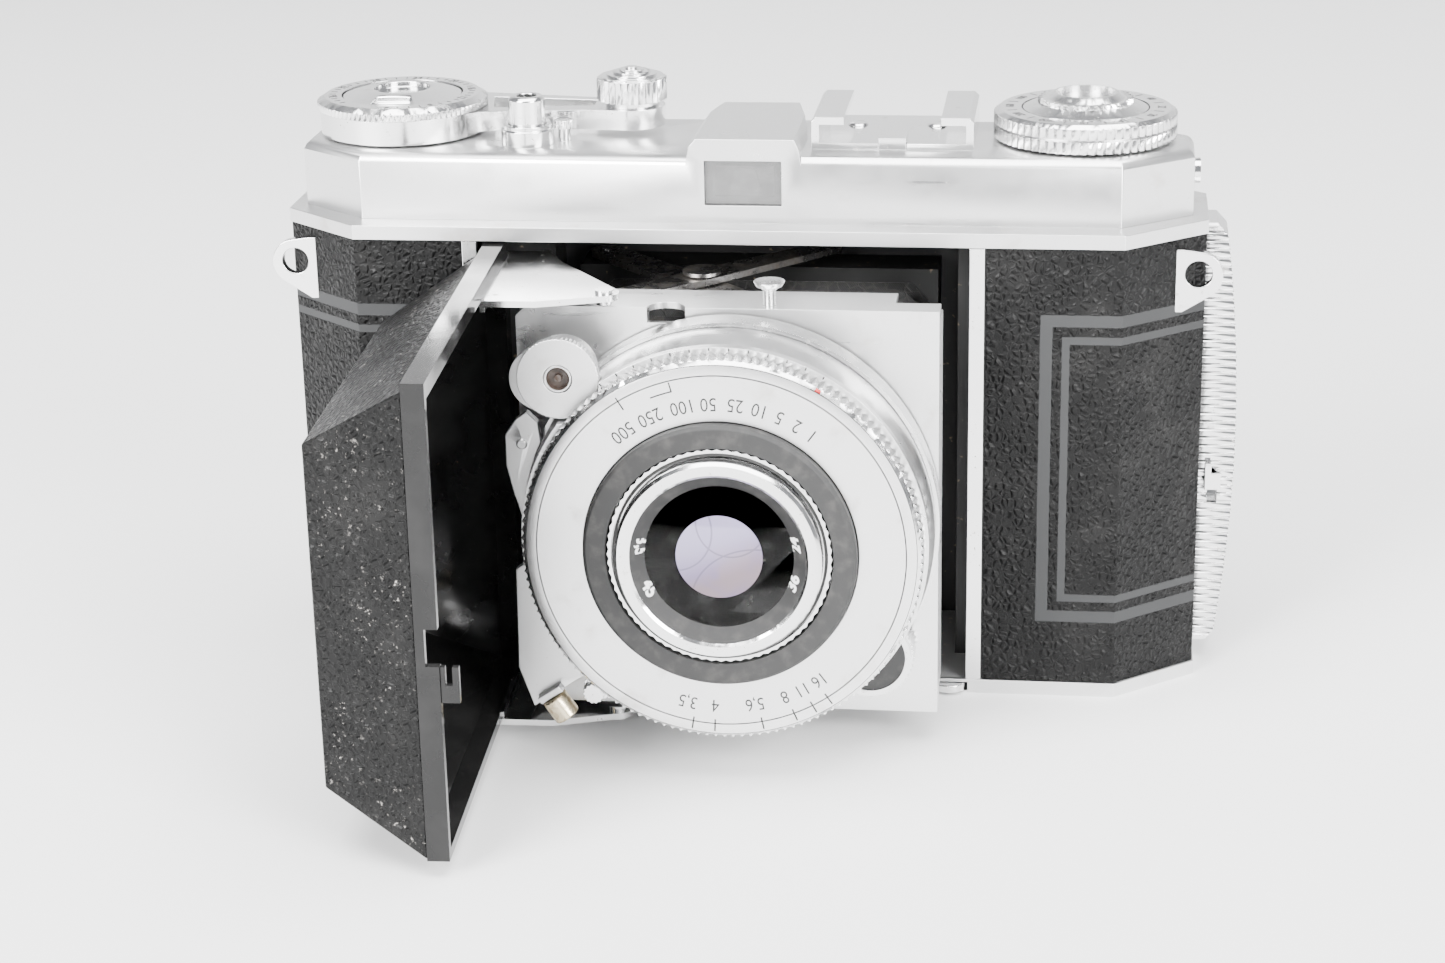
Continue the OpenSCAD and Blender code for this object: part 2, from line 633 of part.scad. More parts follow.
module standard_box() color(satin) difference() {
    block([board[0], -board_y, board_z[0]], [board[1], -board_y + board_depth, board_z[1]]);
    block([board[0] + 0.8, -board_y + 0.9, board_z[0] + 0.8], [board[1] - 0.8, 0, board_z[1] - 0.8]);
    // cut-back corner of the top and bottom shelves
    for (z = [board_z[0] - 1, board_z[1] - 2]) block([21.8, -12.6, z], [30, 0, z + 3]);
    // rounded corners on the left
    for (z = board_z) translate([board[0] - 1, -20, z]) rotate([0, 45, 0])
        cube([3.4, 30, 3.4], center = true);
    // finger notch
    translate([-6.4, -board_y, board_z[1] - 2]) cylinder(r = 2.4, h = 4);
    // seat of the focusing mount
    on_lens_axis(0) translate([0, 0, board_y - 3]) cylinder(r = 15.75, h = 5, $fn = 96);
    // buttons
    for (z = [board_z[0] - 1, board_z[1] - 2]) translate([6.3, -board_y + 1.9, z]) cylinder(r = 0.8, h = 3);
}

// Pleated light-tight tube: a plain tube with a wider fold round it every second step
pleats = 15;
module bellows() color(black) {
    front = -board_y + 1; back = 17.3; step = (back - front) / pleats;
    difference() {
        union() {
            block([lens_x - 16.1, front, mid_z - 14.6], [lens_x + 16.1, back, mid_z + 14.6]);
            for (i = [0 : 2 : pleats - 1]) {
                half = 17.6 + 5.2 * i / pleats;
                block([lens_x - half, front + i * step, mid_z - half + 1.5],
                      [lens_x + half, front + (i + 1) * step, mid_z + half - 1.5]);
            }
        }
        block([lens_x - 14.6, -30, mid_z - 13.2], [lens_x + 14.6, 30, mid_z + 13.2]);
    }
}

// One flat arm with round ends, from a pivot along +X
module scissor_arm(z, length, hole) {
    difference() {
        union() {
            translate([0, 0, z]) cylinder(r = 2.1, h = 0.9);
            translate([length, 0, z]) cylinder(r = 1.8, h = 0.9);
            slab(z, z + 0.9) polygon([[0, -2.1], [length / 2, -2.4], [length, -1.8], [length, 1.8],
                                      [length / 2, 2.4], [0, 2.1]]);
        }
        if (hole) translate([0, 0, z - 1]) cylinder(r = 0.8, h = 3);
    }
}

// Arm pivoted on the body, with the rivet that carries the crossing arm
module scissor_a() translate([arm_foot[0], arm_foot[1], 0]) rotate([0, 0, -arm_angle]) {
    scissor_arm(53.9, arm_len, true);
    translate([arm_len / 2, 0, 54.7]) cylinder(r = 1.2, h = 1.5);
    translate([arm_len / 2, 0, 56.1]) cylinder(r = 2.6, h = 0.5);
}

// Crossing arm, pivoted on the first one at its middle
module scissor_b() {
    middle = arm_foot + arm_len / 2 * [cos(arm_angle), -sin(arm_angle)];
    translate([middle[0], middle[1], 0]) rotate([0, 0, arm_angle]) difference() {
        translate([-arm_len / 2, 0, 0]) scissor_arm(55, arm_len, false);
        translate([0, 0, 50]) cylinder(r = 1.25, h = 10);
    }
}

module below() translate([0, 0, 2 * mid_z]) mirror([0, 0, 1]) children();

module scissor_top_a() color(dark_steel) scissor_a();
module scissor_top_b() color(dark_steel) scissor_b();
module scissor_bottom_a() color(dark_steel) below() scissor_a();
module scissor_bottom_b() color(dark_steel) below() scissor_b();

// Button pressed to unlock the lens board for folding
module fold_button(height) translate([6.3, -board_y + 1.9, board_z[1]]) union() {
    translate([0, 0, -1.6]) cylinder(r = 0.75, h = height + 1);
    translate([0, 0, height - 1.1]) cylinder(r = 1, h = 0.5);
    translate([0, 0, height - 0.7]) cylinder(r1 = 1.6, r2 = 2, h = 0.7);
}

module fold_button_top() color(chrome) fold_button(3.1);
module fold_button_bottom() color(chrome) below() fold_button(2.1);

// ---------------------------------------------------------------- focusing and shutter

sync_at = [-20.2, 20.3];
post_at = [-22.9, -23.2];                        // foot of the timer post
post_angle = -56;                                // and the way it points
post_along = [-sin(post_angle), cos(post_angle)]; // edge of the plate that it stands on
drum_r = 22.88; // drum on which the speed ring turns
lobe_angle = -45;
lobe_r = 5.2;
lobe_out = focus_r - 1.5;
module focus_ring() color(chrome) difference() {
    union() {
        lens_ring(focus_r, 14.6, 16.8, 20.4);
        on_lens_axis(17) rotate([0, 0, lobe_angle]) translate([lobe_out, 0, 0]) {
            linear_extrude(3.4) toothed(lobe_r + 0.4, 48, 0.3);
            cylinder(r = lobe_r, h = 4.1);
        }
        lens_ring(15.7, 14.6, 15.6, 17);
    }
    on_lens_axis(20.6) rotate([0, 0, lobe_angle]) translate([lobe_out, 0, 0])
        cylinder(r = lobe_r - 0.7, h = 2);
    on_lens_axis(20.4) cylinder(r = focus_r, h = 4, $fn = 96);
}

module focus_inlay() color(black) difference() {
    on_lens_axis(20.6) rotate([0, 0, lobe_angle]) translate([lobe_out, 0, 0])
        cylinder(r = lobe_r - 0.75, h = 0.4);
    on_lens_axis(20.4) cylinder(r = focus_r + 0.05, h = 4, $fn = 96);
}

// Shutter housing: stepped drum that slides in the focusing ring
module shutter_case() color(satin) difference() {
    union() {
        lens_ring(14.5, 9.2, 15.5, 21.2);
        lens_ring(25.6, 13, 20.8, 23.4);
        on_lens_axis(23.4) difference() {
            cylinder(r1 = 25.6, r2 = 24.6, h = 3, $fn = 96);
            translate([0, 0, -1]) cylinder(r = 21.5, h = 6);
        }
        lens_ring(25.2, 9.2, 26.3, 27.7);
        lens_ring(drum_r, 18, 27.6, 29.6);
        // boss under the flash contact
        on_lens_axis(21) translate(sync_at) cylinder(r = 4.2, h = 3.6);
        on_lens_axis(21) translate([-22.9, 19]) cylinder(r = 4.1, h = 1.4);
    }
    // room for the contact disc
    on_lens_axis(24.6) translate(sync_at) cylinder(r = 5.3, h = 8);
    // seat of the lens cell
    on_lens_axis(13) cylinder(r = 9.2, h = 20);
    // slot of the aperture lever
    on_lens_axis(24.1) rotate([0, 0, 188]) rotate_extrude(angle = 55) translate([22, 0]) square([6, 1.9]);
}

module face_plate() color(satin) union() {
    lens_ring(drum_r - 0.03, 16.9, 29.6, 31);
    lens_ring(17.9, 16.9, 27.7, 29.7);
}

module speed_ring() color(chrome) difference() {
    on_lens_axis(27.95) union() {
        toothed_disc(speed_r, speed_teeth, 0.5, 2.45);
        translate([0, 0, 2.45]) cylinder(r1 = speed_r - 0.3, r2 = speed_r - 0.9, h = 0.55, $fn = 96);
    }
    on_lens_axis(27) cylinder(r = drum_r + 0.07, h = 6, $fn = 96);
    // sighting window beside the index
    on_lens_axis(30.2) rotate([0, 0, 60]) translate([22, -0.9, 0]) cube([2, 1.8, 2]);
}

// Contact selector: a disc that turns about the flash socket
module sync_disc() color(chrome) on_lens_axis(24.75) translate(sync_at) difference() {
    toothed_disc(5.1, 60, 0.1, 1.5);
    translate([0, 0, -1]) cylinder(r = 1.8, h = 4);
}

// Cover plates at the left of the shutter
module side_plates() color(chrome) {
    on_lens_axis(21.3) linear_extrude(1.2) difference() {
        union() {
            polygon([[-26.4, 13.8], [-25, 14.8], [-23.6, 13.4], [-23.1, 9.5], [-24, 3],
                     [-26.1, 1], [-27, 4], [-27.8, 7.6], [-27.8, 11.7]]);
            polygon([[-27.2, -6.2], [-26.2, -5.5], [-24, -4], [-20, -16], [-15.6, -20.6],
                     [-18.9, -20.5], post_at + 3.2 * post_along, post_at - 3.2 * post_along,
                     [-27.4, -19.6], [-27.4, -16]]);
        }
        circle(25.7, $fn = 240);
    }
    on_lens_axis(22.4) translate([-25.7, 10.6, 0]) cylinder(r = 0.6, h = 0.4);
    // flash socket
    on_lens_axis(24.6) translate(sync_at) difference() {
        cylinder(r = 1.75, h = 1.5);
        translate([0, 0, 0.3]) cylinder(r = 1.35, h = 4);
    }
    // lug of the timer post
    on_lens_axis(22.4) translate(post_at) rotate([0, 0, post_angle])
        translate([-1, -1.7, 0]) cube([1, 3.4, 1.5]);
}

// Post at the lower left for the self-timer
module timer_post() color(brass) on_lens_axis(23.1) translate(post_at) rotate([0, 0, post_angle])
    translate([0.04, 0, 0]) rotate([0, 90, 0]) cylinder(r = 1.7, h = 3.2);

// Diaphragm lever: a tab with a knurled bead that runs in the slot of the housing
module aperture_lever() color(chrome) on_lens_axis(24.3) rotate([0, 0, 231]) {
    linear_extrude(1.4) difference() {
        polygon([[22.2, -1.6], [22.2, 1.6], [27, 1.8], [28.4, 0.8], [28.4, -0.8], [27, -1.8]]);
        circle(22.3, $fn = 96);
    }
    translate([27, 0, 1.4]) toothed_disc(1.4, 14, 0.2, 1.3);
}

// Ring with a dark face round the lens, and the knurled chrome ring inside it
module lens_bezel() color(black) on_lens_axis(0) {
    difference() {
        union() {
            translate([0, 0, 30.1]) cylinder(r = 16.8, h = 2, $fn = 96);
            translate([0, 0, 32.1]) cylinder(r1 = 16.8, r2 = 16.4, h = 0.4, $fn = 96);
            translate([0, 0, 27.8]) cylinder(r = 15.8, h = 3, $fn = 96);
        }
        translate([0, 0, 20]) cylinder(r = 13.95, h = 20, $fn = 96);
    }
}

// Lens cell: bright outer ring, black gap and the sloping inner ring
module name_ring() color(chrome) on_lens_axis(0) difference() {
    union() {
        translate([0, 0, 23]) cylinder(r = 9.1, h = 5);
        translate([0, 0, 27.9]) toothed_disc(13.8, 72, 0.2, 4.2);
        translate([0, 0, 32]) cylinder(r = 12.7, h = 1.6, $fn = 96);
        translate([0, 0, 33.6]) cylinder(r1 = 12.7, r2 = 12.3, h = 0.4, $fn = 96);
    }
    translate([0, 0, 31.4]) cylinder(r1 = 8.6, r2 = 11.2, h = 2.7, $fn = 96);
    translate([0, 0, 22]) cylinder(r = glass_r + 0.1, h = 12, $fn = 96);
    // groove between the knurled ring and the bright one
    translate([0, 0, 31.3]) difference() {
        cylinder(r = 13.3, h = 2, $fn = 96);
        translate([0, 0, -1]) cylinder(r = 12.71, h = 5, $fn = 96);
    }
}

// Front glass, domed forward
module front_lens() color(glass) on_lens_axis(0) intersection() {
    translate([0, 0, 26.4]) cylinder(r = glass_r, h = 8);
    translate([0, 0, 32.7 - 24]) sphere(r = 24, $fn = 128);
}

// Rear cell behind the lens board, with its own glass
module rear_lens_cell() color(black) on_lens_axis(0) union() {
    translate([0, 0, 9]) cylinder(r = 8, h = 5);
    translate([0, 0, 13.9]) cylinder(r = 9.19, h = 4);
    translate([0, 0, 8.7]) cylinder(r1 = 6.6, r2 = 7.4, h = 0.4);
}

// Closed shutter leaves between the two halves of the lens
module shutter_blades() color(dark_steel) on_lens_axis(20.9) cylinder(r = 9.1, h = 0.3);

place() body_casting();
place() leather_left();
place() leather_right();
place() trim_strips();
place() tripod_socket();
place() top_housing();
place() finder_front_glass();
place() finder_eyepiece();
place() shoe_rails();
place() shoe_spring();
place() door_button();
place() strap_lugs();
place() steel_screws();
place() film_rails();
place() release_collar();
place() front_hinge_pin();
place() back_hinge_pin();
place() release_button();
place() film_lock_button();
place() wind_lever();
place() lever_knob();
place() counter_dial();
place() counter_cap();
place() rewind_bush();
place() rewind_knob();
place() rewind_fork();
place() reminder_dial();
place() take_up_spool();
place() sprocket_shaft();
place() back_door();
place() back_leather();
place() back_grip();
place() pressure_plate();
place() back_latch();
place() front_door();
place() door_leather();
place() door_arms();
place() door_catch();
place() standard_box();
place() bellows();
place() scissor_top_a();
place() scissor_top_b();
place() scissor_bottom_a();
place() scissor_bottom_b();
place() fold_button_top();
place() fold_button_bottom();
place() focus_ring();
place() focus_inlay();
place() shutter_case();
place() face_plate();
place() speed_ring();
place() sync_disc();
place() side_plates();
place() timer_post();
place() aperture_lever();
place() lens_bezel();
place() name_ring();
place() front_lens();
place() rear_lens_cell();
place() shutter_blades();
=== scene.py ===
import math

import bmesh
import bpy
from mathutils import Matrix, Vector


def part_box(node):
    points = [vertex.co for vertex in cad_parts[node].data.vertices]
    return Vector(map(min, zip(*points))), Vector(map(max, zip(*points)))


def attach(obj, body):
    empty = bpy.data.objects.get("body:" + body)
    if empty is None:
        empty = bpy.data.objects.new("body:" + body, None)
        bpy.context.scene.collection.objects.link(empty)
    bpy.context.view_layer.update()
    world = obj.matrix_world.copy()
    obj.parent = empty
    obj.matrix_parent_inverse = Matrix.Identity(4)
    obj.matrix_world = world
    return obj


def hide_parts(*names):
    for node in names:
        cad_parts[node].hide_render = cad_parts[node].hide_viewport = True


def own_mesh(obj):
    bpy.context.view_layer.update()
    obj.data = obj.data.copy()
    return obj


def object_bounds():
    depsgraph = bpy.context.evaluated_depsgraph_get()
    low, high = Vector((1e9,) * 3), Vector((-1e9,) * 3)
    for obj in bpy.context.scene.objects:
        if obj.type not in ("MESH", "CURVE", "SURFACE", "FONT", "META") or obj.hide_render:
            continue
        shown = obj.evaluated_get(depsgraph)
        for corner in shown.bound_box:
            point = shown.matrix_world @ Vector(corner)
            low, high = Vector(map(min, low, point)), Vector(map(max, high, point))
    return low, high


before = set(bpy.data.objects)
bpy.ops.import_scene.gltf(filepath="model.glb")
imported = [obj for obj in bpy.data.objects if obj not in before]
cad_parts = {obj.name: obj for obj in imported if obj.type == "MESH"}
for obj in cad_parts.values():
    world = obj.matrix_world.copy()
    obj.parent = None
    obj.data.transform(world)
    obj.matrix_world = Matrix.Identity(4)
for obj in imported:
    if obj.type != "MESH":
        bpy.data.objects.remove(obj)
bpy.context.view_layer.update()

MM = 0.001
WELD = 2e-6               # points of a CAD mesh nearer than this are one point, in metres
FLAT_ANGLE = 1.2          # facets within this angle are one flat, in degrees
BEVEL_ANGLE = 32          # edges sharper than this are rounded, in degrees
TYPE_SIZE = 1.35          # size of the type against the height of its digits
NARROWED = 0.86           # width of the digits against the type's own
INK_RAISED = 0.012        # how far ink stands on either side of its plane, in millimetres


# ------------------------------------------------------------------ shader arithmetic

class Value:
    """A shader socket that takes part in ordinary arithmetic."""

    def __init__(self, finish, socket):
        self.finish = finish
        self.socket = socket

    def _maths(self, operation, *operands):
        made = self.finish.node("ShaderNodeMath", {"operation": operation},
                                dict(enumerate(operands)))
        return Value(self.finish, made.outputs[0])

    def __add__(self, other): return self._maths("ADD", self, other)
    def __radd__(self, other): return self._maths("ADD", other, self)
    def __sub__(self, other): return self._maths("SUBTRACT", self, other)
    def __rsub__(self, other): return self._maths("SUBTRACT", other, self)
    def __mul__(self, other): return self._maths("MULTIPLY", self, other)
    def __rmul__(self, other): return self._maths("MULTIPLY", other, self)
    def __abs__(self): return self._maths("ABSOLUTE", self)
    def root(self): return self._maths("SQRT", self)
    def wave(self): return self._maths("SINE", self)
    def most(self, other): return self._maths("MAXIMUM", self, other)

    def rise(self, low, high, bottom=0.0, top=1.0):
        """Smooth step from bottom to top as the value goes from low to high."""
        made = self.finish.node("ShaderNodeMapRange", {"interpolation_type": "SMOOTHSTEP"},
                                {"Value": self, "From Min": low, "From Max": high,
                                 "To Min": bottom, "To Max": top})
        return Value(self.finish, made.outputs[0])


class Finish:
    """One procedural material, built round a Principled shader."""

    def __init__(self, name, **uniform):
        self.material = bpy.data.materials.new(name)
        self.material.use_nodes = True
        self.tree = self.material.node_tree
        self.shader = next(n for n in self.tree.nodes if n.type == "BSDF_PRINCIPLED")
        for key, value in uniform.items():
            self.shader.inputs[key.replace("_", " ").title().replace("Ior", "IOR")].default_value = value
        place = self.node("ShaderNodeTexCoord").outputs["Object"]
        self.mm = self.node("ShaderNodeVectorMath", {"operation": "SCALE"},
                            {0: place, "Scale": 1 / MM}).outputs[0]
        parts = self.node("ShaderNodeSeparateXYZ", {}, {0: self.mm}).outputs
        self.x, self.y, self.z = (Value(self, part) for part in parts)

    def node(self, kind, settings=None, inputs=None):
        """Adds a node: its settings first, then the values or links of its sockets."""
        made = self.tree.nodes.new(kind)
        for key, value in (settings or {}).items():
            setattr(made, key, value)
        for key, value in (inputs or {}).items():
            if isinstance(value, Value):
                value = value.socket
            if isinstance(value, bpy.types.NodeSocket):
                self.tree.links.new(value, made.inputs[key])
            else:
                made.inputs[key].default_value = value
        return made

    def drive(self, socket, value):
        """Feeds one socket of the Principled shader."""
        source = value.socket if isinstance(value, Value) else value
        self.tree.links.new(source, self.shader.inputs[socket])

    def noise(self, size, detail=3.0, rough=0.55, stretch=(1, 1, 1)):
        """Noise whose blotches are about size millimetres across."""
        spot = self.node("ShaderNodeVectorMath", {"operation": "MULTIPLY"}, {0: self.mm, 1: stretch})
        made = self.node("ShaderNodeTexNoise", {}, {"Vector": spot.outputs[0], "Scale": 1 / size,
                                                   "Detail": detail, "Roughness": rough})
        return Value(self, made.outputs["Fac"])

    def cells(self, size, warp):
        """Cells about size millimetres across, their edges bent by warp millimetres of noise."""
        bent = self.node("ShaderNodeTexNoise", {},
                         {"Vector": self.mm, "Scale": 0.9 / size, "Detail": 2.0})
        spot = self.node("ShaderNodeVectorMath", {"operation": "MULTIPLY_ADD"},
                         {0: bent.outputs["Color"], 1: (warp, warp, warp), 2: self.mm})
        made = self.node("ShaderNodeTexVoronoi", {"feature": "DISTANCE_TO_EDGE"},
                         {"Vector": spot.outputs[0], "Scale": 1 / size})
        return Value(self, made.outputs["Distance"])

    def mix(self, factor, first, second):
        """Colour or value that goes from first to second."""
        colours = [c if isinstance(c, bpy.types.NodeSocket) else (*c, 1.0) for c in (first, second)]
        made = self.node("ShaderNodeMix", {"data_type": "RGBA"}, {0: factor, 6: colours[0], 7: colours[1]})
        return made.outputs[2]

    def bump(self, height, depth):
        """Relief of depth millimetres from a height between 0 and 1."""
        made = self.node("ShaderNodeBump", {}, {"Height": height, "Distance": depth * MM, "Strength": 1.0})
        self.drive("Normal", made.outputs[0])


def grey(level, warmth=0.0):
    """Grey of a brightness, turned towards brown by warmth."""
    return (level * (1 + warmth), level, level * (1 - warmth))


# ------------------------------------------------------------------ finishes

def frosted_plate():
    """Fine-grained satin chrome with rubbed patches, hairlines and a little grime."""
    f = Finish("frosted_plate", metallic=1.0)
    level = 0.80
    rubbed = f.noise(14, 4).rise(0.42, 0.68)
    specks = f.noise(0.55, 2).rise(0.69, 0.76)
    hairs = f.noise(1.6, 2, stretch=(0.08, 0.5, 1.2)).rise(0.66, 0.72)
    stain = f.noise(5.5, 5).rise(0.60, 0.80)
    f.drive("Base Color", f.mix(stain * 0.5 + specks * 0.35, grey(level), grey(level * 0.55, 0.10)))
    f.drive("Roughness", 0.34 - rubbed * 0.07 + stain * 0.14 + specks * 0.15 - hairs * 0.06)
    f.bump(f.noise(0.16, 2) + hairs * 0.8, 0.006)
    return f.material


def bright_plate(name="bright_plate", level=0.86, rough=0.13):
    """Polished chrome with smears, pin-prick corrosion and hairlines."""
    f = Finish(name, metallic=1.0)
    smear = f.noise(3.2, 5).rise(0.40, 0.72)
    pits = f.noise(0.42, 2).rise(0.70, 0.76)
    grime = f.noise(1.6, 4).rise(0.63, 0.76)
    f.drive("Base Color", f.mix(pits * 0.6 + grime * 0.45, grey(level), grey(0.34, 0.12)))
    f.drive("Roughness", rough + smear * 0.10 + pits * 0.3 + grime * 0.2)
    f.bump(f.noise(0.3, 3) - pits * 1.5, 0.004)
    return f.material


def turned_plate():
    """Satin face turned on a lathe: fine rings round the lens axis."""
    f = Finish("turned_plate", metallic=1.0)
    across = f.x - LENS.x / MM
    upward = f.z - LENS.z / MM
    radius = (across * across + upward * upward).root()
    rings = (radius * 58.0).wave()
    stain = f.noise(4.5, 5).rise(0.55, 0.80)
    f.drive("Base Color", f.mix(stain * 0.55, grey(0.80), grey(0.46, 0.08)))
    f.drive("Roughness", 0.27 + stain * 0.2 + f.noise(0.4, 2) * 0.08)
    f.bump(rings * 0.5 + f.noise(0.2, 2), 0.003)
    return f.material


def casting():
    """Body casting: frosted edges outside, worn black enamel within the bay and the film chambers."""
    f = Finish("casting")
    low, high = (corner.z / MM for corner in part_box("leather_left"))
    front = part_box("trim_strips")[0].y / MM
    inside = f.z.rise(low - 0.12, low - 0.02) * (1 - f.z.rise(high + 0.02, high + 0.12)) \
        * f.y.rise(front + 0.5, front + 0.62)
    worn = f.noise(1.4, 5).rise(0.64, 0.72)
    stain = f.noise(6, 5).rise(0.55, 0.80)
    metal = f.mix(stain * 0.5, grey(0.78), grey(0.44, 0.10))
    enamel = f.mix(worn, grey(0.012), grey(0.16, 0.25))
    f.drive("Base Color", f.mix(inside, metal, enamel))
    f.drive("Metallic", 1 - inside * (1 - worn * 0.6))
    f.drive("Roughness", 0.33 + stain * 0.12 + inside * 0.12)
    f.bump(f.noise(0.18, 2) + worn * inside, 0.008)
    return f.material


def pressed_band(distance, width):
    """Flat band pressed along a line, from the distance to it in millimetres."""
    return 1 - abs(distance).rise(width / 2 - 0.08, width / 2 + 0.08)


def grained_hide(name, wear=0.0, frame_box=None, side=1):
    """Black pebbled covering. Two pressed bands run round the panel when frame_box is given."""
    f = Finish(name, specular_ior_level=0.12)
    pebble = f.cells(1.0, warp=0.5).rise(0.03, 0.34)
    fine = f.cells(0.45, warp=0.3).rise(0.0, 0.35)
    height = pebble + fine * 0.06 + f.noise(0.3, 2) * 0.05
    band = None
    if frame_box:
        low, high = frame_box
        for across, down, width in ((7.75, 9.4, 1.6), (10.25, 12.0, 1.05)):
            start = (low.x if side > 0 else high.x) / MM + side * across
            bottom, top = low.z / MM + down, high.z / MM - down
            half = width / 2
            above = f.z.rise(bottom - half - 0.1, bottom - half + 0.1)
            below = 1 - f.z.rise(top + half - 0.1, top + half + 0.1)
            upright = pressed_band(f.x - start, width) * above * below
            beyond = ((f.x - start) * side).rise(-half - 0.1, -half + 0.1)
            level = pressed_band(f.z - bottom, width).most(pressed_band(f.z - top, width)) * beyond
            band = upright.most(level) if band is None else band.most(upright.most(level))
        height = height * (1 - band) - band * 0.15
        pebble = pebble.most(band)
    dust = f.noise(0.9, 6, 0.7).rise(0.62, 0.82) * (1 - pebble * 0.6)
    rubbed = f.noise(7, 4).rise(0.45, 0.75)
    colour = f.mix(dust * 0.25 + rubbed * 0.06, grey(0.006), grey(0.10, 0.03))
    if band is not None:
        colour = f.mix(band * 0.8, colour, grey(0.045, -0.02))
    if wear:
        flakes = f.noise(0.7, 5, 0.7).rise(0.64 - wear * 0.04, 0.69) * f.noise(9, 3).rise(0.40, 0.62)
        colour = f.mix(flakes * 0.8, colour, grey(0.42, 0.06))
    f.drive("Base Color", colour)
    f.drive("Roughness", 0.40 - pebble * 0.08 + dust * 0.25 - rubbed * 0.04)
    f.bump(height, 0.24)
    return f.material


def enamel(name="black_enamel", rough=0.16, wear=0.6):
    """Stoved black enamel with dust, fine scratches and spots rubbed to bare metal."""
    f = Finish(name, coat_weight=0.12, coat_roughness=0.08, specular_ior_level=0.25)
    dust = f.noise(0.5, 4, 0.75).rise(0.66, 0.80)
    chips = f.noise(1.1, 5, 0.7).rise(0.735 - wear * 0.03, 0.76)
    smear = f.noise(8, 4).rise(0.40, 0.75)
    colour = f.mix(dust * 0.18 + smear * 0.02, grey(0.008), grey(0.35, 0.02))
    f.drive("Base Color", f.mix(chips, colour, (0.20, 0.11, 0.07)))
    f.drive("Roughness", rough + smear * 0.12 + dust * 0.4 + chips * 0.3)
    f.bump(f.noise(3.5, 3) * 0.6 - chips * 0.5, 0.02)
    return f.material


def matt_black():
    """Dull black paint with a slight bloom."""
    f = Finish("matt_black")
    level, rough = 0.015, 0.6
    bloom = f.noise(1.8, 5).rise(0.45, 0.8)
    f.drive("Base Color", f.mix(bloom * 0.5, grey(level), grey(level * 4 + 0.01, 0.05)))
    f.drive("Roughness", rough + bloom * 0.15)
    f.bump(f.noise(0.2, 3), 0.01)
    return f.material


def bellows_cloth():
    """Coated black cloth: a fine weave under a cracked skin."""
    f = Finish("bellows_cloth", sheen_weight=0.25)
    weave = (f.x * 21.0).wave() * (f.z * 21.0).wave()
    cracks = 1 - f.cells(1.6, warp=0.8).rise(0.0, 0.10)
    worn = f.noise(2.4, 5).rise(0.55, 0.78)
    f.drive("Base Color", f.mix(worn * 0.5 + cracks * 0.15, grey(0.012), grey(0.07, 0.14)))
    f.drive("Roughness", 0.55 + worn * 0.2)
    f.bump(weave * 0.3 - cracks + f.noise(0.7, 4), 0.05)
    return f.material


def darkened_steel():
    """Grey-brown steel of the folding arms, with old oil and rust specks."""
    f = Finish("darkened_steel", metallic=1.0)
    oil = f.noise(2.6, 5).rise(0.42, 0.72)
    rust = f.noise(0.6, 4, 0.7).rise(0.68, 0.76)
    base = f.mix(oil, grey(0.46, 0.02), grey(0.22, 0.12))
    f.drive("Base Color", f.mix(rust, base, (0.16, 0.07, 0.035)))
    f.drive("Roughness", 0.26 + oil * 0.2 + rust * 0.35)
    f.bump(f.noise(0.9, 3, stretch=(0.2, 1, 1)) - rust, 0.008)
    return f.material


def worn_brass():
    """Brass whose plating has gone."""
    f = Finish("worn_brass", metallic=1.0)
    dull = f.noise(0.9, 5).rise(0.40, 0.70)
    f.drive("Base Color", f.mix(dull, (0.78, 0.68, 0.48), (0.42, 0.32, 0.20)))
    f.drive("Roughness", 0.24 + dull * 0.25)
    f.bump(f.noise(0.3, 3), 0.006)
    return f.material


def coated_glass():
    """Front glass seen with the leaves closed behind it: a painted reflection makes it grey above, the
    coating's violet and brown show below, and painted shade darkens its rim.
    """
    f = Finish("coated_glass", coat_weight=1.0, coat_roughness=0.015, coat_tint=(0.80, 0.70, 1.0, 1.0))
    across = f.x - LENS.x / MM
    upward = f.z - LENS.z / MM
    radius = (across * across + upward * upward).root()
    leaves = None
    for x, z, reach in ((1.6, 4.6, 4.4), (-6.0, 3.2, 5.2), (4.0, -6.5, 7.6)):
        away = ((across - x) * (across - x) + (upward - z) * (upward - z)).root()
        line = 1 - abs(away - reach).rise(0.05, 0.16)
        leaves = line if leaves is None else leaves.most(line)
    bloom = f.mix(f.noise(5, 2).rise(0.35, 0.65), (0.11, 0.085, 0.13), (0.15, 0.12, 0.095))
    # painted reflection: grey towards the top and left, over the coating's violet and brown below
    coating_and_painted_reflection = f.mix((upward - across * 0.4).rise(-3.5, 4.0), bloom, (0.30, 0.31, 0.33))
    dust = f.noise(0.4, 3, 0.7).rise(0.72, 0.80)
    # painted shade: near black towards the rim of the glass; the leaves' edges are drawn as darker circles
    seen = f.mix(leaves * 0.45 + radius.rise(6.9, 7.7) * 0.7, coating_and_painted_reflection, grey(0.02))
    f.drive("Base Color", f.mix(dust * 0.5, seen, grey(0.5)))
    f.drive("Roughness", 0.10 + dust * 0.3)
    return f.material


def finder_pane():
    """Hazy dark pane of the viewfinder window."""
    f = Finish("finder_pane", transmission_weight=0.75, ior=1.5, coat_weight=1.0)
    haze = f.noise(2.2, 4).rise(0.35, 0.75)
    f.drive("Base Color", f.mix(haze, grey(0.26), grey(0.36)))
    f.drive("Roughness", 0.04 + haze * 0.12)
    return f.material


def paint(name, colour, rough=0.45):
    """Paint filled into engraving, slightly patchy."""
    f = Finish(name)
    patchy = f.noise(0.5, 4).rise(0.5, 0.8)
    faded = tuple(c * 0.6 + 0.1 for c in colour)
    f.drive("Base Color", f.mix(patchy * 0.5, colour, faded))
    f.drive("Roughness", rough + patchy * 0.15)
    f.bump(f.noise(0.15, 2), 0.004)
    return f.material


# ------------------------------------------------------------------ places on the frame

def middle(node):
    """Centre of a CAD node's box."""
    low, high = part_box(node)
    return (low + high) / 2


